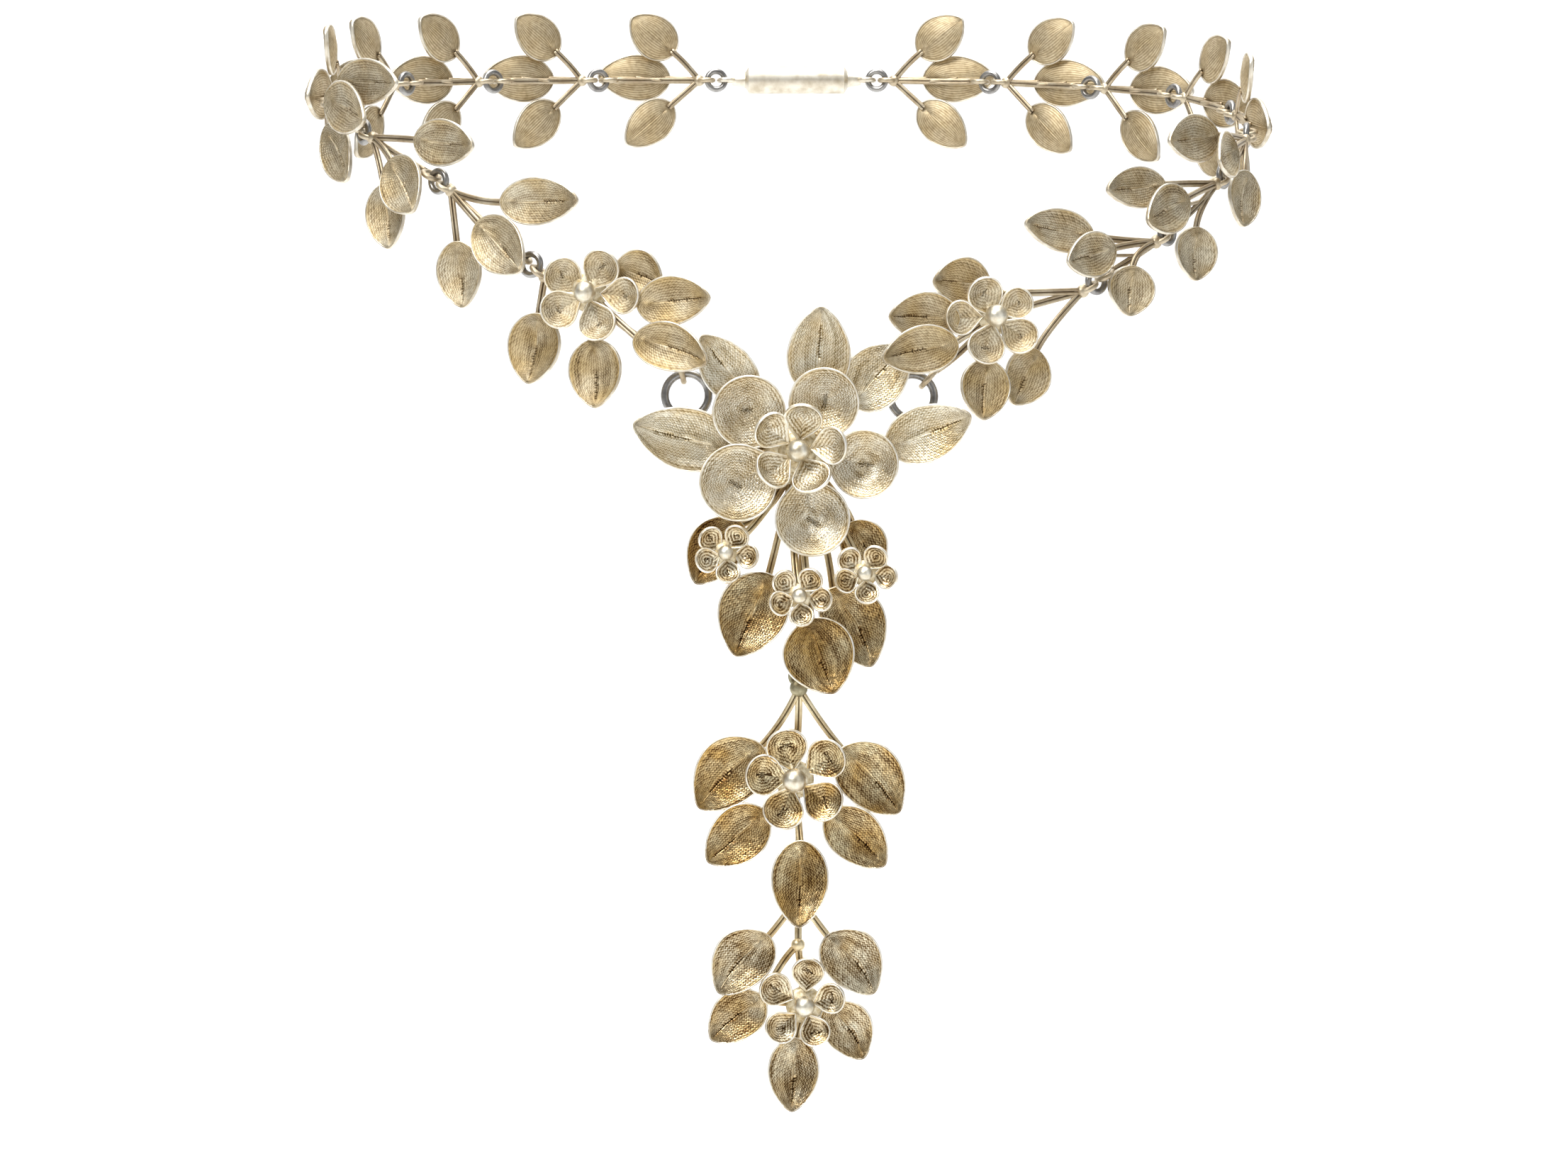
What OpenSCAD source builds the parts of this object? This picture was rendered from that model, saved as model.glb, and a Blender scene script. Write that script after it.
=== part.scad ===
// Filigree necklace of silver leaves and flowers, in the form that it has when worn.
// Millimetres, +Z up, front towards -Y. The origin is the middle of the neck opening.

/* [Loop] */
// Depth of the neck opening's oval in front of the origin, to the main flower
front_reach = 58; // [54:1:62]
// Half width of the oval on the wearer's right, which is the viewer's left
left_reach = 72; // [70:1:75]
// Half width of the oval on the other side
right_reach = 69; // [67:1:72]
// Drop of the main flower below the origin
flower_drop = 52; // [45:1:60]

/* [Leaves] */
// Depth of a leaf's hollow from its rim to its midrib
leaf_dish = 0.9; // [0.5:0.1:1.2]
// Thickness of a leaf at its midrib
leaf_thick = 0.8; // [0.6:0.1:1]
// Height of the rim wire round a leaf or petal
rim_height = 0.75; // [0.6:0.05:0.9]

/* [Wires] */
// Radius of a stem, which is two wires side by side
stem_r = 0.52; // [0.45:0.01:0.6]
// Radius of the wire of a jump ring between two sprigs
ring_wire = 0.48; // [0.4:0.01:0.5]
// Radius of the wire of the large rings beside the centrepiece
big_ring_wire = 0.58; // [0.5:0.01:0.6]

/* [Hidden] */

$fn = 32;

// The tables give places as a viewer in front of the main flower sees them, in millimetres
// right of it and above it. Depth is behind the flower, and what lies deeper looks smaller.
view_distance = 600;
left = -1;
right = 1;
outwards = [0, -1, 0];
sideways = [1, 0, 0];
up = [0, 0, 1];

function unit(v) = v / norm(v);
function reach(side) = side == left ? left_reach : right_reach;
function seen(x, z, d) =
    let (k = 1 + d / view_distance)
    [x * k, d - front_reach, z * k - flower_drop];

// Depth of the neck behind the front, at a place seen x beside the main flower
function neck_depth(x) =
    let (
        r = reach(x < 0 ? left : right),
        near = front_reach * (1 - sqrt(1 - pow(x / r, 2))),
        u = min(0.995, abs(x) * (1 + near / view_distance) / r)
    )
    front_reach * (1 - sqrt(1 - u * u));

// Place on the neck seen at x and z, lifted outwards by h
function on_neck(x, z, h) =
    let (p = seen(x, z, neck_depth(x)))
    p + h * neck_normal(p);
function neck_normal(p) =
    let (r = reach(p.x < 0 ? left : right))
    unit([p.x / (r * r), p.y / (front_reach * front_reach), 0]);

// Joints of each arm, from the main flower outwards: seen x and z of the first four,
// then the angle round the oval from the front and the height of the others
near_joints_left = [[-15.7, 7.8], [-37.6, 26.2], [-50.6, 37.9], [-61.1, 44.8]];
near_joints_right = [[16.1, 7.6], [42, 23.8], [51.9, 30.6], [59.8, 38.6]];
far_angles = [82, 101, 119, 136, 152.5, 169];
far_heights_left = [1, 4.5, 7, 8.5, 9.5, 10];
far_heights_right = [-4, 1, 5, 7.5, 9.2, 10];
ring_count = 10;
big_ring_depth = 3.6;

function far_joint(side, i) =
    let (a = far_angles[i], h = side == left ? far_heights_left : far_heights_right)
    [side * reach(side) * sin(a), -front_reach * cos(a), h[i]];
function near_joint(side, i) =
    let (j = (side == left ? near_joints_left : near_joints_right)[i])
    i == 0 ? seen(j[PX], j[PZ], big_ring_depth) : on_neck(j[PX], j[PZ], 0);
function joint(side, i) = i < 4 ? near_joint(side, i) : far_joint(side, i - 4);

// Jump rings, and the end loops that they join: how far a loop's middle lies from the joint
ring_r = 1.5;
loop_r = 1.25;
loop_wire = 0.4;
loop_offset = 1.77;
// The large rings and the eyelets on them
big_ring_r = 3.1;
eyelet_r = 1.5;
eyelet_wire = 0.42;
eyelet_offset = 3.46;
// The rings that the drops hang on, and the eyelets on them
drop_ring_r = 1.5;
drop_ring_wire = 0.42;
drop_eyelet_r = 1.15;
drop_eyelet_wire = 0.38;
drop_offset = 1.78;

// Turns the Z axis to n and the X axis to s, and moves the origin to p
module frame(p, n, s) {
    m = cross(n, s);
    multmatrix([
        [s.x, m.x, n.x, p.x],
        [s.y, m.y, n.y, p.y],
        [s.z, m.z, n.z, p.z],
        [0, 0, 0, 1]
    ])
        children();
}

// A ring of wire round the axis n. It starts at the side s, where nothing is soldered on.
seam_turn = 160;
module wire_ring(p, n, s, r, wire) {
    frame(p, n, s)
        rotate_extrude($fn = 48)
            translate([r, 0])
                rotate(seam_turn)
                    circle(wire, $fn = 24);
}

module granule(p, r) {
    translate(p)
        sphere(r, $fn = 24);
}

// A small lump of solder where stems meet
module solder(p, r = 0.9) {
    translate(p)
        rotate([17, 29, 41])
            sphere(r, $fn = 8);
}

// Faces of a skin over rings of m points, closed at both ends
function skin_faces(rings, m) = concat(
    [[for (j = [m - 1 : -1 : 0]) j]],
    [for (i = [0 : rings - 2]) for (j = [0 : m - 1])
        let (a = i * m + j, b = i * m + (j + 1) % m)
        each [[a, b, a + m], [b, b + m, a + m]]],
    [[for (j = [0 : m - 1]) (rings - 1) * m + j]]
);

function bezier(a, b, c, t) = (1 - t) * (1 - t) * a + 2 * t * (1 - t) * b + t * t * c;
function bezier_way(a, b, c, t) = unit((1 - t) * (b - a) + t * (c - b));

// A stem from just beside a to c that bends towards b. The turn is about its own length.
stem_sides = 6;
stem_rings = 4;
stem_start = 0.3;
module stem(a, b, c, r = stem_r, turn = 0) {
    start = a + stem_start * unit(b - a);
    beside = abs(unit(c - a).y) < 0.8 ? -outwards : up;
    points = [for (i = [0 : stem_rings - 1])
        let (
            t = i / (stem_rings - 1),
            p = bezier(start, b, c, t),
            w = bezier_way(start, b, c, t),
            s = unit(cross(w, beside)),
            m = cross(s, w)
        )
        for (j = [0 : stem_sides - 1])
            let (angle = turn + j * 360 / stem_sides)
            p + r * (cos(angle) * s + sin(angle) * m)];
    polyhedron(points, skin_faces(stem_rings, stem_sides), convexity = 4);
}

// Half width of a leaf at t of its length, from its round base to its pointed tip
base_power = 0.57;
tip_power = 0.74;
widest = base_power / (base_power + tip_power);
function leaf_shape(t) = pow(t / widest, base_power) * pow((1 - t) / (1 - widest), tip_power);

front_stations = [0.02, 0.1, 0.24, 0.42, 0.62, 0.8, 0.93, 0.985];
arm_stations = [0.03, 0.18, 0.42, 0.7, 0.95];

// A dished leaf from base to tip, with its hollow towards face. Roll turns it about its length,
// and bend pushes its middle sideways.
module leaf(base, tip, width, face = outwards, roll = 0, bend = 0, stations = front_stations) {
    len = norm(tip - base);
    u = (tip - base) / len;
    s0 = unit(cross(face, u));
    n0 = cross(u, s0);
    s = cos(roll) * s0 + sin(roll) * n0;
    n = cross(u, s);
    points = [for (t = stations)
        let (
            w = width / 2 * leaf_shape(t),
            sink = leaf_dish * min(1, leaf_shape(t)),
            mid = base + t * len * u + 4 * bend * t * (1 - t) * s
        )
        each [
            mid - w * s,
            mid - sink * n,
            mid + w * s,
            mid + w * s - rim_height * n,
            mid - (sink + leaf_thick) * n,
            mid - w * s - rim_height * n
        ]];
    polyhedron(points, skin_faces(len(stations), 6), convexity = 4);
}

// A round dished petal. Its middle sinks by dish below its rim.
module petal(p, n, r_long, r_wide, way, dish, sides = 12) {
    s = unit(way - (way * n) * n);
    m = cross(n, s);
    rim = [for (j = [0 : sides - 1])
        p + r_long * cos(j * 360 / sides) * s + r_wide * sin(j * 360 / sides) * m];
    points = concat(
        rim,
        [for (q = rim) q - rim_height * n],
        [p - dish * n, p - (dish + rim_height) * n]
    );
    top = 2 * sides;
    faces = [for (j = [0 : sides - 1])
        let (k = (j + 1) % sides)
        each [[k, j, top], [j, k, sides + j], [k, sides + k, sides + j],
              [sides + j, sides + k, top + 1]]];
    polyhedron(points, faces, convexity = 4);
}

// Five round petals round a granule on a solder disc. Columns of the petal tables: seen x and
// z from the granule, radius, lift, and the tilt towards the granule.
PX = 0;
PZ = 1;
PR = 2;
PLIFT = 3;
PTILT = 4;
disc_back = 1.3;
granule_seat = 0.5;
module flower(c, rows, granule_r, granule_lift, dish, disc_r, face = outwards, sides = 12) {
    across = unit(cross(up, face));
    upright = cross(face, across);
    for (q = rows) {
        way = unit(q[PX] * across + q[PZ] * upright);
        p = c + q[PX] * across + q[PZ] * upright + q[PLIFT] * face;
        petal(p, cos(q[PTILT]) * face - sin(q[PTILT]) * way, q[PR], q[PR], way, dish, sides);
    }
    granule(c + granule_lift * face, granule_r);
    frame(c - disc_back * face, face, across)
        cylinder(h = disc_back + granule_lift - granule_r + granule_seat, r = disc_r);
}

// Columns of the leaf tables: seen x and z of the base and of the tip, width, and the
// depth or lift of the base and of the tip. Then the turn about its length, and the bend.
BX = 0;
BZ = 1;
TX = 2;
TZ = 3;
LW = 4;
LB = 5;
LT = 6;
LROLL = 7;
LBEND = 8;

stem_inset = 0.1;
stem_sink = 0.7;
stem_pull = 0.4;
turn_step = 31;

// Where a stem meets a leaf, just inside its base
function leaf_root(base, tip, face) = base + stem_inset * (tip - base) - stem_sink * face;
module leaf_stem(from, base, tip, face, turn = 0) {
    root = leaf_root(base, tip, face);
    pull = min(norm(root - from) / 2, stem_pull * norm(tip - base));
    stem(from, root - pull * unit(tip - base), root, turn = turn);
}

// Leaves that hang in the plane of the pendant, with their depth in the table
function front_base(q) = seen(q[BX], q[BZ], q[LB]);
function front_tip(q) = seen(q[TX], q[TZ], q[LT]);
function front_root(q) = leaf_root(front_base(q), front_tip(q), outwards);
module front_leaf(q) {
    leaf(front_base(q), front_tip(q), q[LW], roll = q[LROLL], bend = q[LBEND]);
}

// A stem from a flower's middle to one of its leaves, which bows back by the bow
module core_stem(core, root, reach, bow, start = 0, turn = 0) {
    stem(core + start * (root - core), core + reach * (root - core) - bow * outwards, root,
        turn = turn);
}

main_petals = [
    [-6.9, 5.4, 5.2, 1.2, 8],
    [3.6, 6.7, 5.0, 1.6, 8],
    [9.3, -1.9, 4.9, 1.3, 10],
    [2.0, -9.6, 5.3, 2.6, 6],
    [-8.4, -4.5, 5.5, 2.0, 8]
];
inner_petals = [
    [0.7, 4.3, 2.4, 1.9, 30],
    [-3.7, 2.8, 2.4, 2.1, 30],
    [4.6, 0.7, 2.4, 2.1, 30],
    [1.8, -3.6, 2.5, 2.3, 36],
    [-3.4, -2.6, 2.5, 2.2, 36]
];
main_leaves = [
    [2.6, 7.6, 3.3, 20.4, 9.1, 0.6, -0.4, 0, 0],
    [-6.2, 7.2, -13.7, 16.3, 7.4, 0.4, 0.2, 0, 0.3],
    [7.8, 6.2, 15.4, 14.6, 8.8, 0.6, 0.8, 0, 0.5],
    [-9.0, 0.2, -23.4, 3.7, 9.0, 0.6, -1.2, 0, 0.2],
    [12.3, 0.4, 24.5, 5.0, 8.2, 0.2, -1.2, 0, -0.2]
];
lower_leaves = [
    [-8.2, -9.8, -14.6, -18.9, 7.9, 1.2, 0.4, 0, -0.6],
    [-3.9, -17.3, -8.9, -29.1, 10.0, -0.2, -1.4, 0, -0.2],
    [7.3, -10.0, 11.5, -17.2, 6.8, 1.2, 0.6, 0, 0.1],
    [4.4, -19.4, 10.5, -30.6, 9.0, 0.2, -0.6, 0, 0.9],
    [1.6, -23.7, 5.1, -34.4, 10.3, -2.0, -3.4, 0, -0.3]
];
// Where the stem of each lower leaf comes out under the main flower, and how far in it starts
lower_start = 0.35;
lower_depth = 0.9;
lower_ways = [[-3.7, -9.3], [-2.8, -12.4], [7.4, -8.4], [4.4, -13.6], [0.6, -13.0]];

// Mini flowers below the main flower: seen x and z of the granule, and its depth
function seen_row(q) = seen(q[0], q[1], q[2]);
mini_flowers = [[-10.2, -14.4, -2.2], [0.2, -20.5, -4.2], [9.4, -17.3, -2.8]];
mini_petals = [
    [-2.1, 1.9, 1.65, 0.3, 20],
    [1.5, 2.2, 1.65, 0.5, 20],
    [3.0, -0.5, 1.6, 0.3, 20],
    [0.3, -2.7, 1.6, 0.6, 20],
    [-2.6, -1.0, 1.65, 0.5, 20]
];

// The pendant's drops hang from eyelets behind the leaf above: seen x and z, and depth
drop_pivots = [[0.1, -30.1, 1.9], [0.1, -59.5, 2.8]];
function pivot(i) = seen_row(drop_pivots[i]);
function drop_eye_above(i) = pivot(i) + [0, 0, drop_offset];
function drop_eye_below(i) = pivot(i) - [0, 0, drop_offset];

// How far the cup flower stands in front of the main flower
cup_lift = 2.4;
module mini_flower(c) {
    flower(c, mini_petals, granule_r = 1.1, granule_lift = 1, dish = 0.5, disc_r = 1.95,
        sides = 9);
}

module centrepiece() color("silver") {
    core = seen(0, 0, 0);
    flower(core, main_petals, granule_r = 0.8, granule_lift = 2.2, dish = 1.5, disc_r = 5.2,
        sides = 16);
    flower(core + cup_lift * outwards, inner_petals, granule_r = 1.6, granule_lift = 2.2,
        dish = 0.9, disc_r = 2.8);
    for (i = [0 : len(main_leaves) - 1]) {
        front_leaf(main_leaves[i]);
        core_stem(core, front_root(main_leaves[i]), 0.5, 0.5, 0.3, turn_step * i);
    }
    for (i = [0 : len(lower_leaves) - 1]) {
        front_leaf(lower_leaves[i]);
        w = lower_ways[i];
        stem(seen(lower_start * w[0], lower_start * w[1], lower_depth),
            seen(w[0], w[1], lower_depth), front_root(lower_leaves[i]), turn = turn_step * i);
    }
    for (m = mini_flowers)
        mini_flower(seen_row(m));
    // Stems that carry the mini flowers
    stem(seen(-1.5, -3, 0.6), seen(-4, -9, 0.6), seen(-10.2, -14.4, -1.2));
    stem(seen(-0.6, -4, 0.6), seen(-1, -15, 0), seen(0.2, -20.5, -3.2), turn = turn_step);
    stem(seen(2, -3, 0.6), seen(7, -12, 0), seen(9.4, -17.3, -1.8), turn = turn_step);
    // The stem behind the lowest leaf, down to the eyelet of the first drop
    eye = drop_eye_above(0);
    stem(seen(0.8, -4, 0.8), seen(0.6, -18, 0.6), eye + [0, 0, drop_eyelet_r]);
    wire_ring(eye, outwards, sideways, drop_eyelet_r, drop_eyelet_wire);
    // Eyelets of the two large rings, behind the side leaves
    for (side = [left, right]) {
        big_eye = joint(side, 0) - eyelet_offset * up;
        wire_ring(big_eye, sideways, -outwards, eyelet_r, eyelet_wire);
        stem(seen(side * 3, 0.6, 0.8), big_eye + [-side * 3, 0, -4], big_eye - eyelet_r * up);
    }
}

drop_1_petals = [
    [-1.1, 4.6, 2.7, 0.7, 14],
    [4.5, 3.0, 2.7, 0.5, 14],
    [4.1, -3.0, 2.7, 0.8, 14],
    [-1.6, -4.3, 2.7, 1.0, 14],
    [-4.3, 0.7, 2.7, 0.7, 14]
];
drop_1_leaves = [
    [-5.0, -41.6, -14.2, -50.6, 9.6, 1.6, 1.8, 0, -0.6],
    [6.0, -42.0, 14.4, -51.3, 9.2, 1.6, 1.8, 0, 0.5],
    [-4.6, -50.8, -12.9, -58.3, 8.1, 1.6, 1.4, 0, 0.1],
    [4.1, -51.1, 12.4, -58.8, 7.7, 1.6, 1.4, 0, 0.3],
    [0.4, -55.0, 0.1, -67.6, 8.2, -0.6, -2.6, 0, 0]
];

drop_2_petals = [
    [0.5, 4.7, 2.2, 0.7, 14],
    [3.7, 1.0, 2.1, 0.6, 14],
    [1.5, -3.7, 2.1, 0.9, 14],
    [-3.3, -3.1, 2.2, 0.8, 14],
    [-4.1, 2.3, 2.3, 0.6, 14]
];
drop_2_leaves = [
    [-4.0, -68.6, -11.4, -76.9, 8.4, 2.6, 2.4, 0, -0.7],
    [4.0, -68.5, 10.9, -76.9, 8.4, 2.6, 2.4, 0, 0.7],
    [-4.8, -77.3, -12.5, -83.5, 7.3, 2.8, 2.6, 0, -0.3],
    [4.1, -78.4, 9.4, -86.2, 7.3, 2.8, 2.6, 0, 0.6],
    [-0.4, -83.0, -0.9, -93.8, 7.4, 2.8, 1.8, 0, 0]
];

hub_below_eye = 0.5;
function drop_hub(i) = drop_eye_below(i) - (drop_eyelet_r + hub_below_eye) * up;

// The eyelet of a drop with its solder, and the leaves: two on the hub, three on the flower
module drop_frame(i, leaves, core) {
    wire_ring(drop_eye_below(i), outwards, sideways, drop_eyelet_r, drop_eyelet_wire);
    solder(drop_hub(i));
    for (k = [0 : len(leaves) - 1]) {
        q = leaves[k];
        front_leaf(q);
        if (k < 2)
            leaf_stem(drop_hub(i), front_base(q), front_tip(q), outwards);
        else
            core_stem(core, front_root(q), 0.4, 0.4, turn = turn_step * k);
    }
}

module drop_1() color("silver") {
    core = seen(-0.5, -46.5, 1.4);
    drop_frame(0, drop_1_leaves, core);
    flower(core, drop_1_petals, granule_r = 1.75, granule_lift = 1.6, dish = 0.8, disc_r = 2.9);
    stem(drop_hub(0), seen(0.2, -38, 1.5), core);
    // Down to the eyelet of the second drop
    eye = drop_eye_above(1);
    stem(core, seen(0.3, -54, 2.6), eye + [0, 0, drop_eyelet_r]);
    wire_ring(eye, outwards, sideways, drop_eyelet_r, drop_eyelet_wire);
}

module drop_2() color("silver") {
    second_hub = seen(0, -69.9, 2.4);
    core = seen(0.9, -78.5, 2.2);
    drop_frame(1, drop_2_leaves, core);
    flower(core, drop_2_petals, granule_r = 1.5, granule_lift = 1.4, dish = 0.7, disc_r = 2.8);
    stem(drop_hub(1), (drop_hub(1) + second_hub) / 2, second_hub);
    solder(second_hub, 1);
    stem(second_hub, seen(-2, -71.5, 2.6), seen(-4.2, -76.0, 2.8));
    stem(second_hub, seen(0.3, -73, 2.4), core);
}

module drop_ring(i) color("dimgray")
    wire_ring(pivot(i), sideways, outwards, drop_ring_r, drop_ring_wire);

// Way of the chain at a joint, towards the front, along the neck
function chain_way(side, i) =
    let (
        n = neck_normal(joint(side, i)),
        v = joint(side, max(0, i - 1)) - joint(side, min(ring_count - 1, i + 1))
    )
    unit(v - (v * n) * n);

// The loop at a joint, on the end of the piece that lies behind it (-1) or in front of it (1)
hub_gap = 2.9;
module end_loop(side, i, way) {
    j = joint(side, i);
    n = neck_normal(j);
    t = chain_way(side, i);
    wire_ring(j + way * loop_offset * t, cross(n, t), n, loop_r, loop_wire);
}
function hub_of(side, i) = joint(side, i) + hub_gap * chain_way(side, i);
function tail_end(side, i) = joint(side, i) - (loop_offset + loop_r) * chain_way(side, i);

module jump_ring(side, i) color("dimgray") {
    j = joint(side, i);
    if (i == 0)
        wire_ring(j, outwards, sideways, big_ring_r, big_ring_wire);
    else
        wire_ring(j, neck_normal(j), chain_way(side, i), ring_r, ring_wire);
}

// Leaves of the sprigs that the front view shows, three for each sprig
near_sprigs_left = [
    [-41.6, 34.9, -30.5, 35.2, 6.9, 1.0, 1.2, 0, 0],
    [-44.2, 32.1, -37.0, 25.1, 7.8, 2.0, 4.2, 0, 0],
    [-47.6, 29.5, -46.4, 20.0, 7.2, 1.2, 1.4, 0, 0],
    [-53.2, 43.7, -44.7, 42.7, 6.9, 1.4, 1.8, 0, 0],
    [-56.0, 40.8, -51.2, 33.5, 7.8, 2.2, 4.4, 0, 0],
    [-57.8, 37.4, -56.6, 28.3, 7.0, 1.2, 1.4, 0, 0],
    [-64.2, 52.0, -55.7, 51.6, 7.0, 0.8, 1.2, 0, 0],
    [-65.2, 49.8, -58.2, 46.2, 7.6, 1.6, 3.8, 0, 0],
    [-65.6, 45.6, -62.4, 38.0, 7.0, 1.2, 1.4, 0, 0]
];
near_sprigs_right = [
    [41.2, 30.1, 31.4, 32.0, 6.4, 1.0, 1.2, 10, 0],
    [43.6, 28.5, 35.9, 26.3, 6.6, 2.0, 4.2, 0, 0],
    [45.8, 26.0, 45.0, 18.8, 7.6, 2.4, 2.6, 0, 0],
    [51.3, 37.4, 42.8, 36.6, 6.2, 0.8, 1.2, 10, 0],
    [53.4, 35.5, 46.4, 32.0, 7.2, 2.2, 4.4, 0, 0],
    [55.4, 31.5, 54.9, 23.8, 7.6, 1.2, 1.4, 0, 0],
    [58.6, 44.3, 51.4, 43.4, 7.2, 0.8, 1.2, 5, 0],
    [60.4, 42.6, 56.4, 40.4, 7.0, 1.6, 3.8, 0, 0],
    [62.2, 39.4, 61.4, 31.4, 7.0, 1.2, 1.4, 0, 0]
];
near_sprigs = 3;
// How far the leaves of those sprigs look to the front rather than straight off the neck
front_turn = 0.7;

// A standard sprig's leaves. Columns: way along the chain from its outer joint, way up, and
// lift, of the base and then of the tip, and the width.
BASE_ALONG = 0;
BASE_UP = 1;
BASE_LIFT = 2;
TIP_ALONG = 3;
TIP_UP = 4;
TIP_LIFT = 5;
FAR_WIDTH = 6;
far_leaves = [
    [7.4, 3.8, 1.2, 15.6, 10.6, 1.4, 7.0],
    [7.4, -0.3, 1.8, 19.6, -1.0, 3.8, 7.8],
    [6.8, -4.4, 1.2, 14.2, -10.6, 1.4, 7.4]
];

// What a sprig's leaf is made from
S_BASE = 0;
S_TIP = 1;
S_WIDTH = 2;
S_ROLL = 3;
S_FACE = 4;
function sprig_leaf(side, i, k) =
    i <= near_sprigs
    ? near_sprig_leaf((side == left ? near_sprigs_left : near_sprigs_right)[3 * (i - 1) + k])
    : far_sprig_leaf(side, i, far_leaves[k]);
function near_sprig_leaf(q) =
    let (base = on_neck(q[BX], q[BZ], q[LB]), tip = on_neck(q[TX], q[TZ], q[LT]))
    [base, tip, q[LW], q[LROLL], unit(neck_normal((base + tip) / 2) + front_turn * outwards)];
function far_sprig_leaf(side, i, q) =
    let (
        o = joint(side, i + 1),
        e = joint(side, i),
        t = unit(e - o),
        n0 = neck_normal((o + e) / 2),
        n = unit(n0 - (n0 * t) * t),
        w = side * cross(n, t)
    )
    [
        o + q[BASE_ALONG] * t + q[BASE_UP] * w + q[BASE_LIFT] * n,
        o + q[TIP_ALONG] * t + q[TIP_UP] * w + q[TIP_LIFT] * n,
        q[FAR_WIDTH], 0, n
    ];

// How far the tail bows off the neck, and the post that carries the middle leaf on it
tail_bow = 0.6;
post_start = 0.45;
post_sink = 1.2;
post_r = 0.45;

module leaf_sprig(side, i) color("silver") {
    end_loop(side, i + 1, 1);
    end_loop(side, i, -1);
    hub = hub_of(side, i + 1);
    solder(hub);
    tail = tail_end(side, i);
    stem(hub, (hub + tail) / 2 + tail_bow * neck_normal(hub), tail);
    for (k = [0 : 2]) {
        q = sprig_leaf(side, i, k);
        leaf(q[S_BASE], q[S_TIP], q[S_WIDTH], q[S_FACE], q[S_ROLL], 0, arm_stations);
        leaf_stem(hub, q[S_BASE], q[S_TIP], q[S_FACE], turn_step * (k + 1));
    }
    b = sprig_leaf(side, i, 1);
    top = (b[S_BASE] + b[S_TIP]) / 2 - post_sink * neck_normal(b[S_BASE]);
    stem(hub + post_start * (tail - hub), ((hub + tail) / 2 + top) / 2, top, post_r);
}

// Flower sprigs: seen x and z of the granule, and the lift of the flower off the neck
flower_core_left = [-29.0, 22.2];
flower_core_right = [26.9, 18.9];
flower_lift = 1.9;
// Turn of the upper eyelet round the large ring, outwards from straight above it
lean_left = 12;
lean_right = 42;
flower_petals_left = [
    [2.1, 3.4, 2.6, 0.7, 14],
    [5.3, -0.5, 2.5, 0.9, 14],
    [1.6, -4.3, 2.6, 1.1, 14],
    [-3.9, -2.4, 2.65, 0.9, 14],
    [-3.4, 2.3, 2.6, 0.6, 18]
];
flower_petals_right = [
    [-1.4, 3.0, 2.5, 0.7, 14],
    [3.3, 1.8, 2.2, 0.6, 14],
    [3.6, -2.8, 2.5, 0.9, 14],
    [-1.3, -4.3, 2.6, 1.1, 14],
    [-4.9, -0.3, 2.4, 0.9, 14]
];
flower_leaves_left = [
    [-25.8, 25.9, -19.0, 23.2, 7.2, 1.0, 2.4, 0, 0.2],
    [-22.4, 20.3, -11.9, 21.5, 7.2, 1.6, 2.6, 0, 0.2],
    [-22.5, 15.7, -12.0, 12.3, 6.9, 3.0, 5.2, 0, 0.5],
    [-28.2, 15.8, -27.8, 5.9, 8.1, 1.6, 2.4, 0, 0],
    [-36.0, 19.4, -37.3, 9.3, 8.6, 1.4, 1.8, 0, 0]
];
flower_leaves_right = [
    [26.9, 22.9, 18.6, 23.8, 7.2, 1.0, 1.4, 0, -0.4],
    [22.4, 18.4, 12.3, 18.8, 7.2, 1.6, 2.6, 0, -0.2],
    [21.8, 15.0, 11.1, 12.8, 6.9, 3.0, 5.2, 0, -0.2],
    [26.2, 12.9, 25.3, 4.2, 7.6, 1.6, 2.4, 0, 0],
    [33.1, 14.3, 29.6, 6.4, 7.4, 1.4, 1.8, 0, 0.4]
];

module flower_sprig(side) color("silver") {
    c = side == left ? flower_core_left : flower_core_right;
    leaves = side == left ? flower_leaves_left : flower_leaves_right;
    petals = side == left ? flower_petals_left : flower_petals_right;
    core = on_neck(c[PX], c[PZ], flower_lift);
    face = unit(neck_normal(core) + outwards);
    hub = hub_of(side, 1);
    flower(core, petals, granule_r = 1.6, granule_lift = 1.5, dish = 0.8, disc_r = 2.9,
        face = face);
    end_loop(side, 1, 1);
    solder(hub);
    for (k = [0 : len(leaves) - 1]) {
        q = leaves[k];
        base = on_neck(q[BX], q[BZ], q[LB]);
        tip = on_neck(q[TX], q[TZ], q[LT]);
        leaf(base, tip, q[LW], neck_normal((base + tip) / 2), q[LROLL], q[LBEND]);
        if (k < 4)
            stem(core, core + 0.3 * (base - core), leaf_root(base, tip, face),
                turn = turn_step * k);
        else
            leaf_stem(hub, base, tip, face, turn_step);
    }
    stem(hub, (hub + core) / 2, core);
    // A second stem, to the petals above the granule
    high = core + [side * 1.5, 0, 3.2];
    stem(hub, (hub + high) / 2, high);
    // The tail behind the third leaf, down to the eyelet of the large ring
    lean = side == left ? lean_left : lean_right;
    from_ring = [side * sin(lean), 0, cos(lean)];
    eye = joint(side, 0) + eyelet_offset * from_ring;
    wire_ring(eye, cross(from_ring, outwards), -outwards, eyelet_r, eyelet_wire);
    stem(core, core + [-side * 4, 1.5, -5], eye + eyelet_r * from_ring);
}

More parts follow.
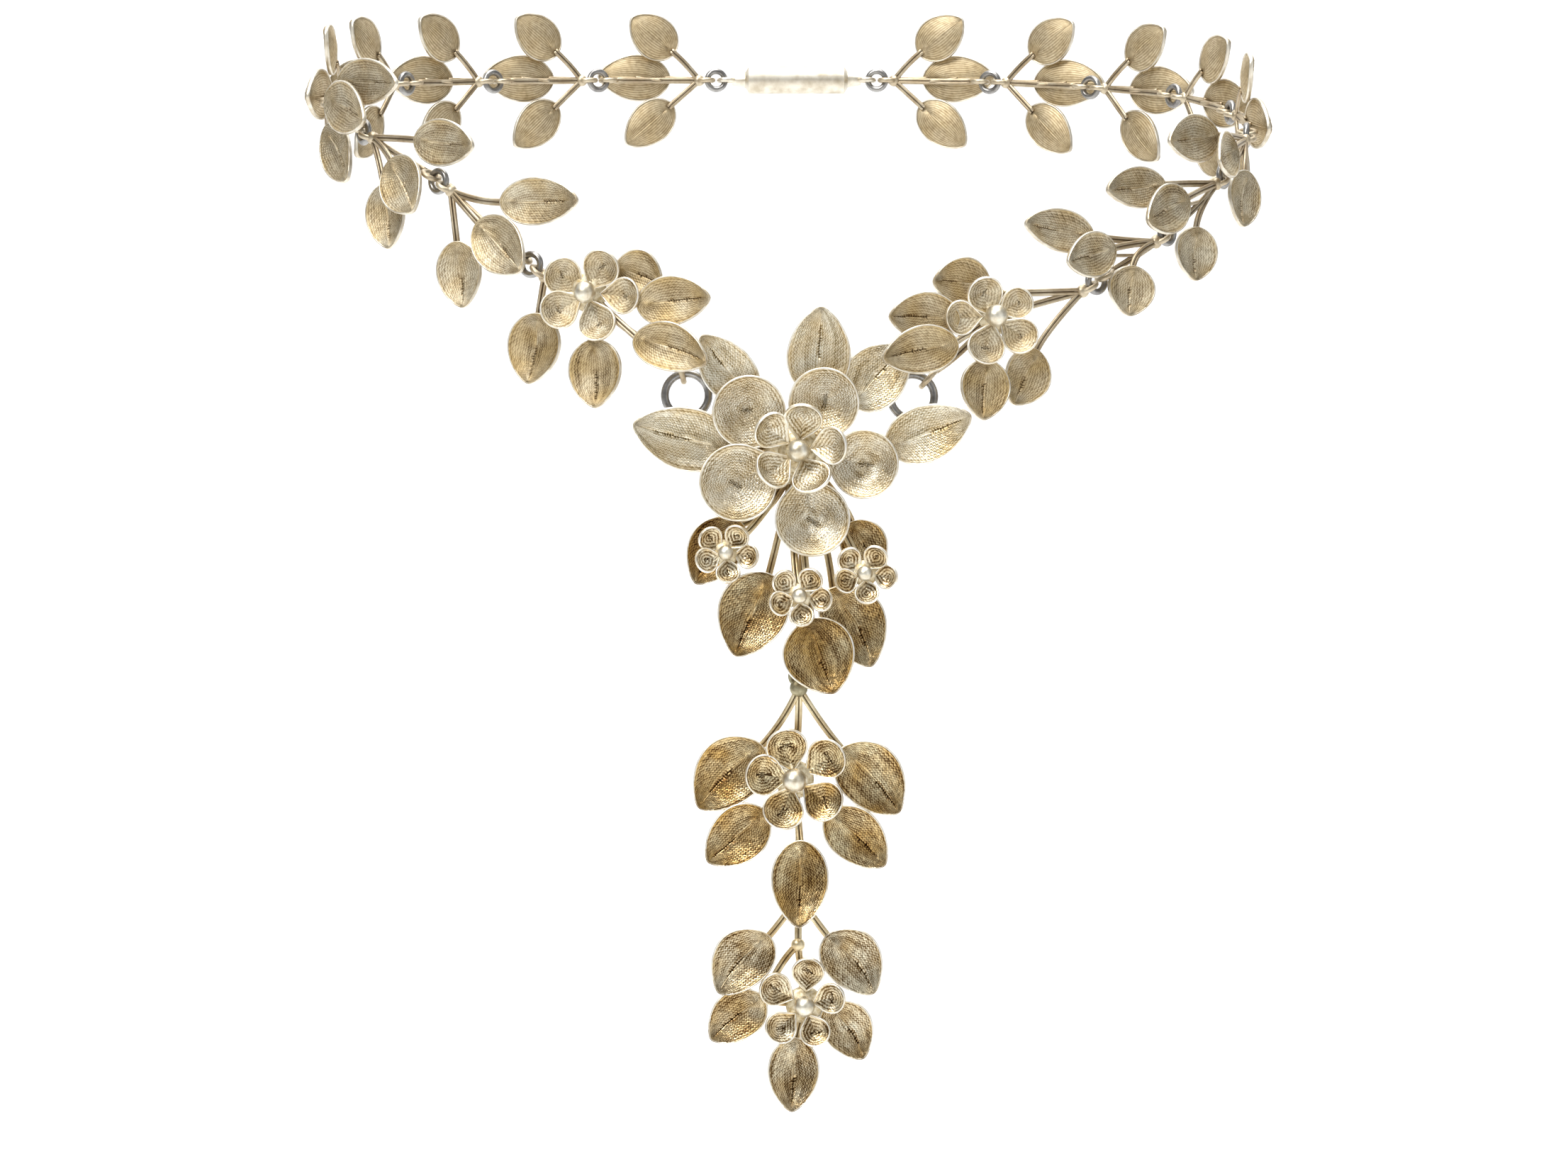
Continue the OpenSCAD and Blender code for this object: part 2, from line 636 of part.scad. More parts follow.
// A plain barrel at the nape, with a loop at each end: radii of its middle, of the shoulder
// where its ends begin and of their tips, and the length of an end and of its tip
clasp_r = 2.3;
clasp_shoulder_r = 1.3;
clasp_tip_r = 0.9;
clasp_end = 2.2;
clasp_slope = 0.6;
clasp_overlap = 0.3;
module clasp() color("silver") {
    for (side = [left, right])
        end_loop(side, ring_count - 1, -1);
    p = tail_end(left, ring_count - 1);
    q = tail_end(right, ring_count - 1);
    way = unit(q - p);
    length = norm(q - p);
    full = length + 2 * clasp_overlap;
    frame(p - clasp_overlap * way, way, unit(cross(way, up)))
        rotate_extrude()
            polygon([
                [0, 0], [clasp_tip_r, 0], [clasp_shoulder_r, clasp_end],
                [clasp_r, clasp_end + clasp_slope], [clasp_r, full - clasp_end - clasp_slope],
                [clasp_shoulder_r, full - clasp_end], [clasp_tip_r, full], [0, full]
            ]);
}

centrepiece();
drop_1();
drop_2();
drop_ring(0);  // drop_ring_1
drop_ring(1);  // drop_ring_2
flower_sprig(left);  // left_flower_sprig
flower_sprig(right);  // right_flower_sprig
leaf_sprig(left, 1);  // left_sprig_1
leaf_sprig(left, 2);  // left_sprig_2
leaf_sprig(left, 3);  // left_sprig_3
leaf_sprig(left, 4);  // left_sprig_4
leaf_sprig(left, 5);  // left_sprig_5
leaf_sprig(left, 6);  // left_sprig_6
leaf_sprig(left, 7);  // left_sprig_7
leaf_sprig(left, 8);  // left_sprig_8
leaf_sprig(right, 1);  // right_sprig_1
leaf_sprig(right, 2);  // right_sprig_2
leaf_sprig(right, 3);  // right_sprig_3
leaf_sprig(right, 4);  // right_sprig_4
leaf_sprig(right, 5);  // right_sprig_5
leaf_sprig(right, 6);  // right_sprig_6
leaf_sprig(right, 7);  // right_sprig_7
leaf_sprig(right, 8);  // right_sprig_8
jump_ring(left, 0);  // left_ring_1
jump_ring(left, 1);  // left_ring_2
jump_ring(left, 2);  // left_ring_3
jump_ring(left, 3);  // left_ring_4
jump_ring(left, 4);  // left_ring_5
jump_ring(left, 5);  // left_ring_6
jump_ring(left, 6);  // left_ring_7
jump_ring(left, 7);  // left_ring_8
jump_ring(left, 8);  // left_ring_9
jump_ring(left, 9);  // left_ring_10
jump_ring(right, 0);  // right_ring_1
jump_ring(right, 1);  // right_ring_2
jump_ring(right, 2);  // right_ring_3
jump_ring(right, 3);  // right_ring_4
jump_ring(right, 4);  // right_ring_5
jump_ring(right, 5);  // right_ring_6
jump_ring(right, 6);  // right_ring_7
jump_ring(right, 7);  // right_ring_8
jump_ring(right, 8);  // right_ring_9
jump_ring(right, 9);  // right_ring_10
clasp();
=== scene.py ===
import math

import bmesh
import bpy
import numpy as np
from mathutils import Matrix


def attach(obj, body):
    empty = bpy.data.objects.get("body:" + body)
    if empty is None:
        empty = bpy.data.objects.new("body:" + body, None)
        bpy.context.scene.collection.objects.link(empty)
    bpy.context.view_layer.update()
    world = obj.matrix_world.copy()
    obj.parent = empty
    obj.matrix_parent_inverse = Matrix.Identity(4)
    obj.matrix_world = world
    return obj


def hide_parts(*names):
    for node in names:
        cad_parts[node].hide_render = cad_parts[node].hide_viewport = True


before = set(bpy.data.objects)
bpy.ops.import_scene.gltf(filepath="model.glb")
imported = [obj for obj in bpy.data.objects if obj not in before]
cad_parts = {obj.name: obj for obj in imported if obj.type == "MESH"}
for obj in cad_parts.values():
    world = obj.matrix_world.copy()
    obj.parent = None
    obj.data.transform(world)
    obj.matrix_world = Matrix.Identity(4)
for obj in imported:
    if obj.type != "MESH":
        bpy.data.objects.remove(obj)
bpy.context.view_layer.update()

# Looks of the filigree necklace. All sizes are in millimetres until a piece becomes a mesh.
# The tables repeat those of the part's source, so that each piece lies where its solid lies.
# Only the first leaf of the left flower sprig lies further back, clear of a petal.
MM = 0.001
OUT = np.array([0.0, -1.0, 0.0])
UP = np.array([0.0, 0.0, 1.0])
SIDE = np.array([1.0, 0.0, 0.0])
LEFT, RIGHT = -1, 1
SIDE_NAMES = {LEFT: "left", RIGHT: "right"}

# The neck opening, its middle at the origin
FRONT = 58.0
REACH = {LEFT: 72.0, RIGHT: 69.0}
# How far the main flower lies below that middle, and how far the viewer stands from the front
DROP = 52.0
VIEW = 600.0

# Joints of the loop: x and z as seen for those in front, then angle and height round the neck
NEAR_JOINTS = {
    LEFT: [(-15.7, 7.8), (-37.6, 26.2), (-50.6, 37.9), (-61.1, 44.8)],
    RIGHT: [(16.1, 7.6), (42, 23.8), (51.9, 30.6), (59.8, 38.6)],
}
FAR_ANGLES = [82, 101, 119, 136, 152.5, 169]
FAR_HEIGHTS = {LEFT: [1, 4.5, 7, 8.5, 9.5, 10], RIGHT: [-4, 1, 5, 7.5, 9.2, 10]}
RINGS = 10
SPRIGS = 8

# Loops and eyelets: distance from the joint, radius, and radius of the wire
LOOP_OFFSET, LOOP_R, LOOP_WIRE = 1.77, 1.25, 0.4
EYELET_OFFSET, EYELET_R, EYELET_WIRE = 3.46, 1.5, 0.42
DROP_OFFSET, DROP_EYELET_R, DROP_EYELET_WIRE = 1.78, 1.15, 0.38
HUB_GAP = 2.9
HUB_R, HUB_FLAT = 0.95, 0.85
DROP_HUB_R, DROP_HUB_FLAT = 1.3, 0.6

# A stem is two strands, whose offset and radius are parts of its own radius
STEM_R = 0.52
BRACE_R = 0.45
STRAND_OFFSET, STRAND_R = 0.45, 0.56

# Leaves and petals: depth of the dish, places round the outline and rows of wire, as distances
LEAF_DISH = 0.9
LEAF_PITCH, LEAF_ROW = 0.26, 0.4
LEAF_OUTLINE_STEPS = 160
PETAL_PITCH, PETAL_ROW = 0.265, 0.39
WIRE_LIFT = 0.17
FIRST_ROW = 0.04
BACK_GAP = 0.4
# Backs and rims take every second place of the outline
SKIP = 2
RIM_HALF_WIDTH, RIM_HALF_HEIGHT, RIM_CENTRE = 0.16, 0.37, -0.3

# How finely round forms are divided
STRAND_SIDES = 8
STEM_STEPS = 12
RIM_SIDES = 8
RING_STEPS, RING_SIDES = 40, 10
BALL_STEPS, BALL_ROWS = 20, 12
DISC_STEPS = 32


def unit(v):
    v = np.asarray(v, float)
    return v / np.linalg.norm(v)


def unit_rows(v):
    return v / (np.linalg.norm(v, axis=1, keepdims=True) + 1e-9)


def side_of(n):
    """A direction square to n."""
    return unit(np.cross(n, UP) if abs(n[2]) < 0.9 else np.cross(n, SIDE))


def turn(steps):
    """Angles once round, in even steps."""
    return np.arange(steps) * 2 * math.pi / steps


def seen(x, z, d):
    """The point that the viewer sees at x and z, at depth d behind the front of the neck."""
    k = 1 + d / VIEW
    return np.array([x * k, d - FRONT, z * k - DROP])


def neck_depth(x):
    r = REACH[LEFT if x < 0 else RIGHT]
    near = FRONT * (1 - math.sqrt(1 - (x / r) ** 2))
    u = min(0.995, abs(x) * (1 + near / VIEW) / r)
    return FRONT * (1 - math.sqrt(1 - u * u))


def neck_normal(p):
    r = REACH[LEFT if p[0] < 0 else RIGHT]
    return unit([p[0] / r**2, p[1] / FRONT**2, 0])


def on_neck(x, z, h):
    p = seen(x, z, neck_depth(x))
    return p + h * neck_normal(p)


def joint(side, i):
    if i == 0:
        x, z = NEAR_JOINTS[side][0]
        return seen(x, z, 3.6)
    if i < 4:
        x, z = NEAR_JOINTS[side][i]
        return on_neck(x, z, 0)
    a = math.radians(FAR_ANGLES[i - 4])
    return np.array([side * REACH[side] * math.sin(a), -FRONT * math.cos(a), FAR_HEIGHTS[side][i - 4]])


def chain_way(side, i):
    n = neck_normal(joint(side, i))
    v = joint(side, max(0, i - 1)) - joint(side, min(RINGS - 1, i + 1))
    return unit(v - (v @ n) * n)


def hub_of(side, i):
    return joint(side, i) + HUB_GAP * chain_way(side, i)


def tail_end(side, i):
    return joint(side, i) - (LOOP_OFFSET + LOOP_R) * chain_way(side, i)


def leaf_shape(t):
    """Half width of a leaf at t from base to tip, as a part of its widest."""
    base, tip = 0.57, 0.74
    w = base / (base + tip)
    return (t / w) ** base * ((1 - t) / (1 - w)) ** tip


def leaf_root(base, tip, face):
    return base + 0.1 * (tip - base) - 0.7 * face


# ---- Materials ------------------------------------------------------------------------------


def shader(name, rough, metal):
    m = bpy.data.materials.new(name)
    m.use_nodes = True
    tree = m.node_tree
    tree.nodes.clear()
    out = tree.nodes.new("ShaderNodeOutputMaterial")
    bsdf = tree.nodes.new("ShaderNodeBsdfPrincipled")
    bsdf.inputs["Roughness"].default_value = rough
    bsdf.inputs["Metallic"].default_value = metal
    tree.links.new(bsdf.outputs["BSDF"], out.inputs["Surface"])
    return m, tree, bsdf


def noise(tree, scale, detail=3.0):
    place = tree.nodes.new("ShaderNodeTexCoord")
    tex = tree.nodes.new("ShaderNodeTexNoise")
    tex.inputs["Scale"].default_value = scale
    tex.inputs["Detail"].default_value = detail
    tree.links.new(place.outputs["Object"], tex.inputs["Vector"])
    return tex.outputs["Fac"]


def ramp(tree, factor, stops):
    node = tree.nodes.new("ShaderNodeValToRGB")
    tree.links.new(factor, node.inputs["Fac"])
    line = node.color_ramp
    while len(line.elements) < len(stops):
        line.elements.new(0.5)
    for element, (place, colour) in zip(line.elements, stops):
        element.position = place
        element.color = (*colour, 1)
    return node.outputs["Color"]


def blend(tree, a, b, factor, kind="MIX"):
    node = tree.nodes.new("ShaderNodeMix")
    node.data_type = "RGBA"
    node.blend_type = kind
    # Colours go in at sockets 6 and 7 of a Mix node, and the blended one comes out at socket 2
    for socket, value in ((node.inputs[6], a), (node.inputs[7], b), (node.inputs[0], factor)):
        if isinstance(value, (int, float)):
            socket.default_value = value
        else:
            tree.links.new(value, socket)
    return node.outputs[2]


def filigree(name, wire, gap, patina, rough=0.42, amount=0.55, mottle=0.2):
    """Rows of fine wire. The colour attribute holds how deep a point lies between the wires in red,
    which darkens it as painted shade together with the patina of the grooves, and how strongly it is
    tarnished in green."""
    m, tree, bsdf = shader(name, rough, 0.85)
    grain = tree.nodes.new("ShaderNodeAttribute")
    grain.attribute_name = "grain"
    parts = tree.nodes.new("ShaderNodeSeparateColor")
    tree.links.new(grain.outputs["Color"], parts.inputs["Color"])
    # Tones from crest to groove: the gap and near-black ones are painted shade between the wires, with
    # their patina
    deepest_shade = [0.12 * c for c in gap]
    stops = (0.08, 0.6, 0.95)
    clean = ramp(tree, parts.outputs["Red"], list(zip(stops, (wire, gap, deepest_shade))))
    worn = [[c * p for c, p in zip(tone, patina)] for tone in (wire, gap, deepest_shade)]
    old = ramp(tree, parts.outputs["Red"], list(zip(stops, worn)))
    cloud = ramp(tree, noise(tree, 260), [(0.38, (0, 0, 0)), (0.68, (amount,) * 3)])
    tone = blend(tree, clean, old, cloud)
    tone = blend(tree, tone, old, parts.outputs["Green"])
    spots = ramp(tree, noise(tree, 1300, 2), [(0.36, (0.42, 0.34, 0.24)), (0.54, (1, 1, 1))])
    tone = blend(tree, tone, spots, mottle, "MULTIPLY")
    tree.links.new(tone, bsdf.inputs["Base Color"])
    return m


def metal(name, bright, dull, rough, scale=500):
    """Plain metal, cloudy between two tones."""
    m, tree, bsdf = shader(name, rough, 1.0)
    tone = ramp(tree, noise(tree, scale), [(0.35, dull), (0.62, bright)])
    tree.links.new(tone, bsdf.inputs["Base Color"])
    return m


# The second tone of each filigree lies between the wires and holds painted shade with patina
MATERIALS = {
    "petal": filigree("petal_wire", (0.98, 0.94, 0.81), (0.38, 0.29, 0.15), (0.86, 0.73, 0.50)),
    "leaf": filigree("leaf_wire", (0.98, 0.93, 0.78), (0.44, 0.35, 0.19), (0.82, 0.67, 0.43)),
    "gold": filigree("gold_wire", (0.97, 0.84, 0.53), (0.15, 0.08, 0.02), (0.74, 0.54, 0.26),
                     rough=0.32, amount=0.9, mottle=0.5),
    "drop": filigree("drop_wire", (0.98, 0.90, 0.68), (0.17, 0.10, 0.03), (0.74, 0.57, 0.32),
                     rough=0.32, amount=0.8, mottle=0.4),
    "arm": filigree("arm_wire", (0.82, 0.75, 0.58), (0.42, 0.34, 0.22), (0.80, 0.67, 0.44),
                    rough=0.56, amount=0.5, mottle=0.3),
    "rim": metal("rim_wire", (0.99, 0.96, 0.88), (0.80, 0.72, 0.56), 0.42),
    "rim_old": metal("old_rim_wire", (0.80, 0.75, 0.64), (0.56, 0.49, 0.37), 0.42),
    "stem": filigree("stem_wire", (0.84, 0.74, 0.50), (0.12, 0.08, 0.03), (0.56, 0.42, 0.25),
                     rough=0.34, amount=0.9),
    "stem_old": filigree("old_stem_wire", (0.60, 0.52, 0.38), (0.09, 0.06, 0.03), (0.6, 0.5, 0.38)),
    "hub": metal("hub_solder", (0.42, 0.38, 0.25), (0.20, 0.17, 0.10), 0.45, 900),
    "bead": metal("bead_metal", (0.84, 0.80, 0.68), (0.60, 0.52, 0.37), 0.42, 900),
    "solder": metal("solder_metal", (0.78, 0.70, 0.52), (0.46, 0.35, 0.18), 0.5, 1400),
    "ring": metal("ring_steel", (0.40, 0.39, 0.37), (0.22, 0.21, 0.20), 0.34, 700),
}


# ---- Meshes ---------------------------------------------------------------------------------


class Piece:
    """One piece that stands for one CAD node. Parts are added as grids of points."""

    def __init__(self, node, body, slot, seed):
        self.node, self.body, self.slot = node, body, slot
        self.random = np.random.default_rng(seed)
        self.points, self.grain, self.faces, self.kinds = [], [], [], []
        self.count = 0
        self.slots = []

    def kind(self, name):
        if name not in self.slots:
            self.slots.append(name)
        return self.slots.index(name)

    def grid(self, points, ref, kind, grain=None, closed=True):
        """Faces over a grid of rows and columns, which look the way that ref points."""
        rows, cols = points.shape[:2]
        index = np.arange(rows * cols).reshape(rows, cols)
        nxt = np.roll(index, -1, axis=1)
        if not closed:
            index, nxt = index[:, :-1], nxt[:, :-1]
        a, b, c, d = index[:-1], index[1:], nxt[1:], nxt[:-1]
        quads = np.stack([a, b, c, d], axis=-1).reshape(-1, 4)
        flat = points.reshape(-1, 3)
        normals = np.cross(flat[quads[:, 2]] - flat[quads[:, 0]], flat[quads[:, 3]] - flat[quads[:, 1]])
        way = np.broadcast_to(ref, points.shape).reshape(-1, 3)[quads].mean(axis=1)
        if (normals * way).sum() < 0:
            quads = quads[:, ::-1]
        self.points.append(flat)
        if grain is None:
            grain = np.zeros((rows, cols, 2))
        self.grain.append(grain.reshape(-1, 2))
        self.faces.append(quads + self.count)
        self.kinds.append(np.full(len(quads), self.kind(kind)))
        self.count += len(flat)

    def finish(self):
        points = np.vstack(self.points) * MM
        faces = np.vstack(self.faces)
        mesh = bpy.data.meshes.new(self.node + "_look")
        mesh.from_pydata(points.tolist(), [], faces.tolist())
        mesh.polygons.foreach_set("material_index", np.concatenate(self.kinds).astype("i4"))
        mesh.polygons.foreach_set("use_smooth", np.ones(len(faces), bool))
        # Red is painted shade between the wires with its patina, green is tarnish
        grain = mesh.color_attributes.new("grain", "FLOAT_COLOR", "POINT")
        values = np.zeros((len(points), 4), "f4")
        values[:, :2] = np.vstack(self.grain)
        values[:, 3] = 1
        grain.data.foreach_set("color", values.ravel())
        for name in self.slots:
            mesh.materials.append(MATERIALS[name])
        join_same_points(mesh)
        piece = bpy.data.objects.new(self.node + "_look", mesh)
        bpy.context.scene.collection.objects.link(piece)
        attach(piece, self.body)
        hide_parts(self.node)


def join_same_points(mesh):
    """Leaves no faces without area where rows of points meet in one point."""
    solid = bmesh.new()
    solid.from_mesh(mesh)
    bmesh.ops.remove_doubles(solid, verts=solid.verts, dist=1e-7)
    solid.to_mesh(mesh)
    solid.free()


def tangents_of(path):
    """Unit tangents along an open row of points."""
    t = np.gradient(path, axis=0)
    return t / np.linalg.norm(t, axis=1, keepdims=True)


def tube(b, path, radius, kind, across, groove):
    """A round wire along a path. Across fixes where its first side lies, and groove is the
    side on which its neighbour lies, where painted shade darkens it."""
    t = tangents_of(path)
    s = np.cross(t, across)
    s /= np.linalg.norm(s, axis=1, keepdims=True)
    m = np.cross(s, t)
    a = turn(STRAND_SIDES)
    ring = np.cos(a)[None, :, None] * s[:, None] + np.sin(a)[None, :, None] * m[:, None]
    points = path[:, None] + radius * ring
    caps = [np.repeat(path[k][None, None], STRAND_SIDES, axis=1) for k in (0, -1)]
    points = np.concatenate([caps[0], points, caps[1]])
    ring = np.concatenate([-t[:1, None] + 0 * ring[:1], ring, t[-1:, None] + 0 * ring[-1:]])
    # Painted shade on the side that touches the neighbouring strand
    deep = np.clip(1.7 * groove * np.cos(a) - 0.7, 0, 1)
    old = 0.25 + 0.25 * np.sin(np.arange(len(points)) * 0.9 + b.random.random() * 6)
    grain = np.stack(np.broadcast_arrays(deep[None, :], old[:, None]), axis=-1)
    b.grid(points, ring, kind, grain)


def ring_wire(b, p, n, s, r, wire, kind):
    """A closed ring of wire round the axis n, which starts on the side s."""
    m = np.cross(n, s)
    a = turn(RING_STEPS)
    way = np.cos(a)[:, None] * s + np.sin(a)[:, None] * m
    c = turn(RING_SIDES)
    around = np.cos(c)[:, None, None] * way + np.sin(c)[:, None, None] * n
    b.grid(p + r * way + wire * around, around, kind)
    last = np.stack([around[-1], around[0]])
    b.grid(p + r * way + wire * last, last, kind)


def ball(b, p, r, kind, n, flat=1.0):
    """A ball, flattened along n."""
    s = side_of(n)
    m = np.cross(n, s)
    lat = np.linspace(-math.pi / 2, math.pi / 2, BALL_ROWS)[:, None, None]
    lon = turn(BALL_STEPS)[None, :, None]
    way = np.cos(lat) * (np.cos(lon) * s + np.sin(lon) * m)
    b.grid(p + r * (way + flat * np.sin(lat) * n), way + np.sin(lat) * n, kind)


def lathe(b, p, n, profile, kind):
    """A turned form: radius and height along n of each row."""
    s = side_of(n)
    m = np.cross(n, s)
    lon = turn(DISC_STEPS)[None, :, None]
    r = np.array([q[0] for q in profile])[:, None, None]
    h = np.array([q[1] for q in profile])[:, None, None]
    way = np.cos(lon) * s + np.sin(lon) * m
    middle = h.mean()
    b.grid(p + r * way + h * n, r * way + (h - middle) * n, kind)


def bezier(a, b, c):
    t = np.linspace(0, 1, STEM_STEPS)[:, None]
    return (1 - t) ** 2 * a + 2 * t * (1 - t) * b + t * t * c


def stem(b, start, middle, end, kind="stem", r=STEM_R, face=OUT):
    """Two wires that lie side by side, as seen from the way that face points."""
    path = bezier(start, middle, end)
    t = tangents_of(path)
    s = unit_rows(np.cross(t, face))
    for way in (-1, 1):
        tube(b, path + way * STRAND_OFFSET * r * s, STRAND_R * r, kind, face, groove=-way)


def zigzag(k, period):
    """A wave between -1 and 1 that goes up and down once over so many places."""
    return 1 - 4 * np.abs((k / period) % 1 - 0.5)


def filling(b, place, rows, n, kind, shrink, spiral=False, slit=0.0, eye=0.0, tarnish=0.0,
            crimp=1.0):
    """Rows of crimped wire from the rim to the middle. Place gives the points and normals at
    the n places round the outline, for f from the rim to the middle. The wire of a spiral
    moves in by one row each time round. Slit is how far a leaf's middle lies open, and eye is
    the half length of a petal's opening, as a part of its radius; both are painted dark as shade, and
    the grooves between the rows take painted shade with their patina."""
    rng = b.random
    steps = 2 * rows
    k = np.arange(n)
    around = k / n * 2 * math.pi
    behind = 2 * (1 - k / (n - 1)) if spiral else np.zeros(n)
    phase, opening = rng.random(2) * 2 * math.pi
    reach = 0.55 * (0.6 + 0.9 * rng.random(n))
    points, normals, grain = [], [], []
    for r in range(steps + 1 + 2 * spiral):
        level = np.clip((r - behind) / steps, 0, 1)
        left = 1 - shrink * level.mean()
        period = 2 if left > 0.55 else 4 if left > 0.28 else 8
        fade = np.clip(np.minimum(6 * level, 9 * (1 - level)), 0, 1)
        wave = 0.3 * crimp * (0.6 + 0.8 * rng.random(n)) * zigzag(k, period)
        drift = 0.25 * np.sin(4 * around - phase) + 0.15 * np.sin(9 * around + opening)
        f = np.clip(level + fade * (wave + crimp * drift) / rows, 0, 1)
        p, nrm = place(FIRST_ROW + (1 - FIRST_ROW) * f)
        # Odd rows are the wires and even rows the grooves; the red value is painted shade between them,
        # with their patina
        if r % 2:
            lift = WIRE_LIFT * (0.5 + 0.5 * rng.random(n))
            groove_shade = 0.2 * rng.random(n)
        else:
            lift = np.zeros(n)
            groove_shade = 0.5 + 0.25 * rng.random(n)
        if r % 4 == 0:
            shade = 0.34 * (rng.random() - 0.35) * np.cos(around * rng.integers(1, 4) + phase)
        groove_shade = groove_shade + shade + 0.12 * (1 - level) * zigzag(k + 2 * level * rows, 4)
        inner = np.clip(3 * ((level - 1) * rows / reach + 1), 0, 1)
        if not spiral:
            groove_shade += inner * (0.36 - groove_shade)
        # Alternate places along the leaf's open middle are painted dark, as shade in the slit
        groove_shade = np.maximum(groove_shade, slit * inner * (k % 2) * (1 + 0.3 * rng.random(n)))
        soft = 0.2 * np.sin(2 * around + phase + 3 * f) + 0.16 * np.sin(5 * around - phase)
        soft += 0.5 * np.clip(1 - 5 * level, 0, 1)
        length, breadth = (1 - f) * np.cos(around - opening), (1 - f) * np.sin(around - opening)
        # The petal's opening is painted near-black, as shade inside it
        open_eye = (np.abs(length) < eye) & (np.abs(breadth) < 0.32 * eye) & (k // 4 % 2 == 0)
        groove_shade = np.where(open_eye, 0.8 + 0.2 * rng.random(n), groove_shade)
        points.append(p + (lift - 0.2 * inner * slit)[:, None] * nrm)
        normals.append(nrm)
        grain.append(np.stack([np.clip(groove_shade, 0, 1), np.clip(tarnish + soft, 0, 1)], axis=-1))
    b.grid(np.array(points), np.array(normals), kind, np.array(grain), closed=not spiral)


def backing(b, place, kind, rows, closed=True):
    """The back of a filling, with its rows of wire seen from behind."""
    points, normals, grain = [], [], []
    for r in range(2 * rows + 1):
        p, nrm = place(0.05 + 0.95 * r / (2 * rows))
        count = len(nrm[::SKIP])
        low = 0.08 * (r % 2)
        points.append((p - (BACK_GAP - low) * nrm)[::SKIP])
        normals.append(-nrm[::SKIP])
        # Painted shade, with patina, between the rows seen from behind
        deep = (0.5 if r % 2 else 0.05) + 0.2 * b.random.random(count)
        grain.append(np.stack([deep, np.full(count, 0.4)], axis=-1))
    b.grid(np.array(points), np.array(normals), kind, np.array(grain), closed=closed)


def rim(b, edge, nrm, kind):
    """The flat wire that stands on its edge round a leaf or petal."""
    edge, nrm = edge[::SKIP], nrm[::SKIP]
    t = np.roll(edge, -1, axis=0) - np.roll(edge, 1, axis=0)
    t /= np.linalg.norm(t, axis=1, keepdims=True)
    o = np.cross(t, nrm)
    if ((edge - edge.mean(axis=0)) * o).sum() < 0:
        o = -o
    a = turn(RIM_SIDES)
    wide = np.cos(a)[:, None, None] * o * RIM_HALF_WIDTH
    high = np.sin(a)[:, None, None] * nrm * RIM_HALF_HEIGHT
    around = wide + high
    middle = edge + (0.03 - RIM_HALF_WIDTH) * o + RIM_CENTRE * nrm
    points = np.concatenate([middle + around, (middle + around)[:1]])
    b.grid(points, np.concatenate([around, around[:1]]), kind)


def leaf(b, base, tip, width, face, kind, rim_kind, roll, bend, tarnish=0.0, crimp=1.0):
    """A dished leaf from base to tip, rolled about its length by so many degrees."""
    length = np.linalg.norm(tip - base)
    u = (tip - base) / length
    s0 = unit(np.cross(face, u))
    n0 = np.cross(u, s0)
    c, d = math.cos(math.radians(roll)), math.sin(math.radians(roll))
    s = c * s0 + d * n0
    n = np.cross(u, s)
    dense = (1 - np.cos(np.linspace(0, math.pi, LEAF_OUTLINE_STEPS))) / 2
    t = np.concatenate([dense[:-1], dense[::-1][:-1]])
    across = width / 2 * leaf_shape(np.clip(t, 1e-6, 1 - 1e-6))
    across[: len(dense) - 1] *= -1
    loop = np.stack([t * length, across], axis=1)
    loop = np.vstack([loop, loop[:1]])
    far = np.concatenate([[0], np.cumsum(np.linalg.norm(np.diff(loop, axis=0), axis=1))])
    n_around = 4 * round(far[-1] / LEAF_PITCH / 4)
    even = np.arange(n_around) / n_around * far[-1]
    along = np.interp(even, far, loop[:, 0]) / length
    across = np.interp(even, far, loop[:, 1])
    # Rounds off the corner at the tip, as the bent wire does
    for _ in range(3):
        along = (np.roll(along, 1) + along + np.roll(along, -1)) / 3
        across = (np.roll(across, 1) + across + np.roll(across, -1)) / 3

    def place(f):
        a = along * (1 - f) + f * (0.2 + 0.74 * along)
        w = across * (1 - f)
        deep = LEAF_DISH * np.minimum(1, leaf_shape(np.clip(along, 1e-4, 1 - 1e-4)))
        sink = deep * np.sin(f * math.pi / 2)
        middle = base + np.outer(a * length, u) + np.outer(4 * bend * a * (1 - a), s)
        p = middle + np.outer(w, s) - np.outer(sink, n)
        slope = deep * 3 / width * np.cos(f * math.pi / 2)
        nrm = n - np.outer(slope * np.sign(across) * np.minimum(1, np.abs(across)), s)
        return p, nrm / np.linalg.norm(nrm, axis=1, keepdims=True)

    rows = max(4, round(width / 2 / LEAF_ROW))
    # Where the middle lies open; the filling paints it dark there, as shade in the slit
    open_from, open_to = (0.2, 0.8) + 0.25 * b.random.random(2)
    slit = np.clip((along - open_from) / 0.08, 0.2, 1) * np.clip((open_to - along) / 0.08, 0.1, 1)
    filling(b, place, rows, n_around, kind, shrink=0.26, slit=slit, tarnish=tarnish, crimp=crimp)
    backing(b, place, kind, rows)
    edge, _ = place(0.0)
    rim(b, edge, np.tile(n, (len(edge), 1)), rim_kind)


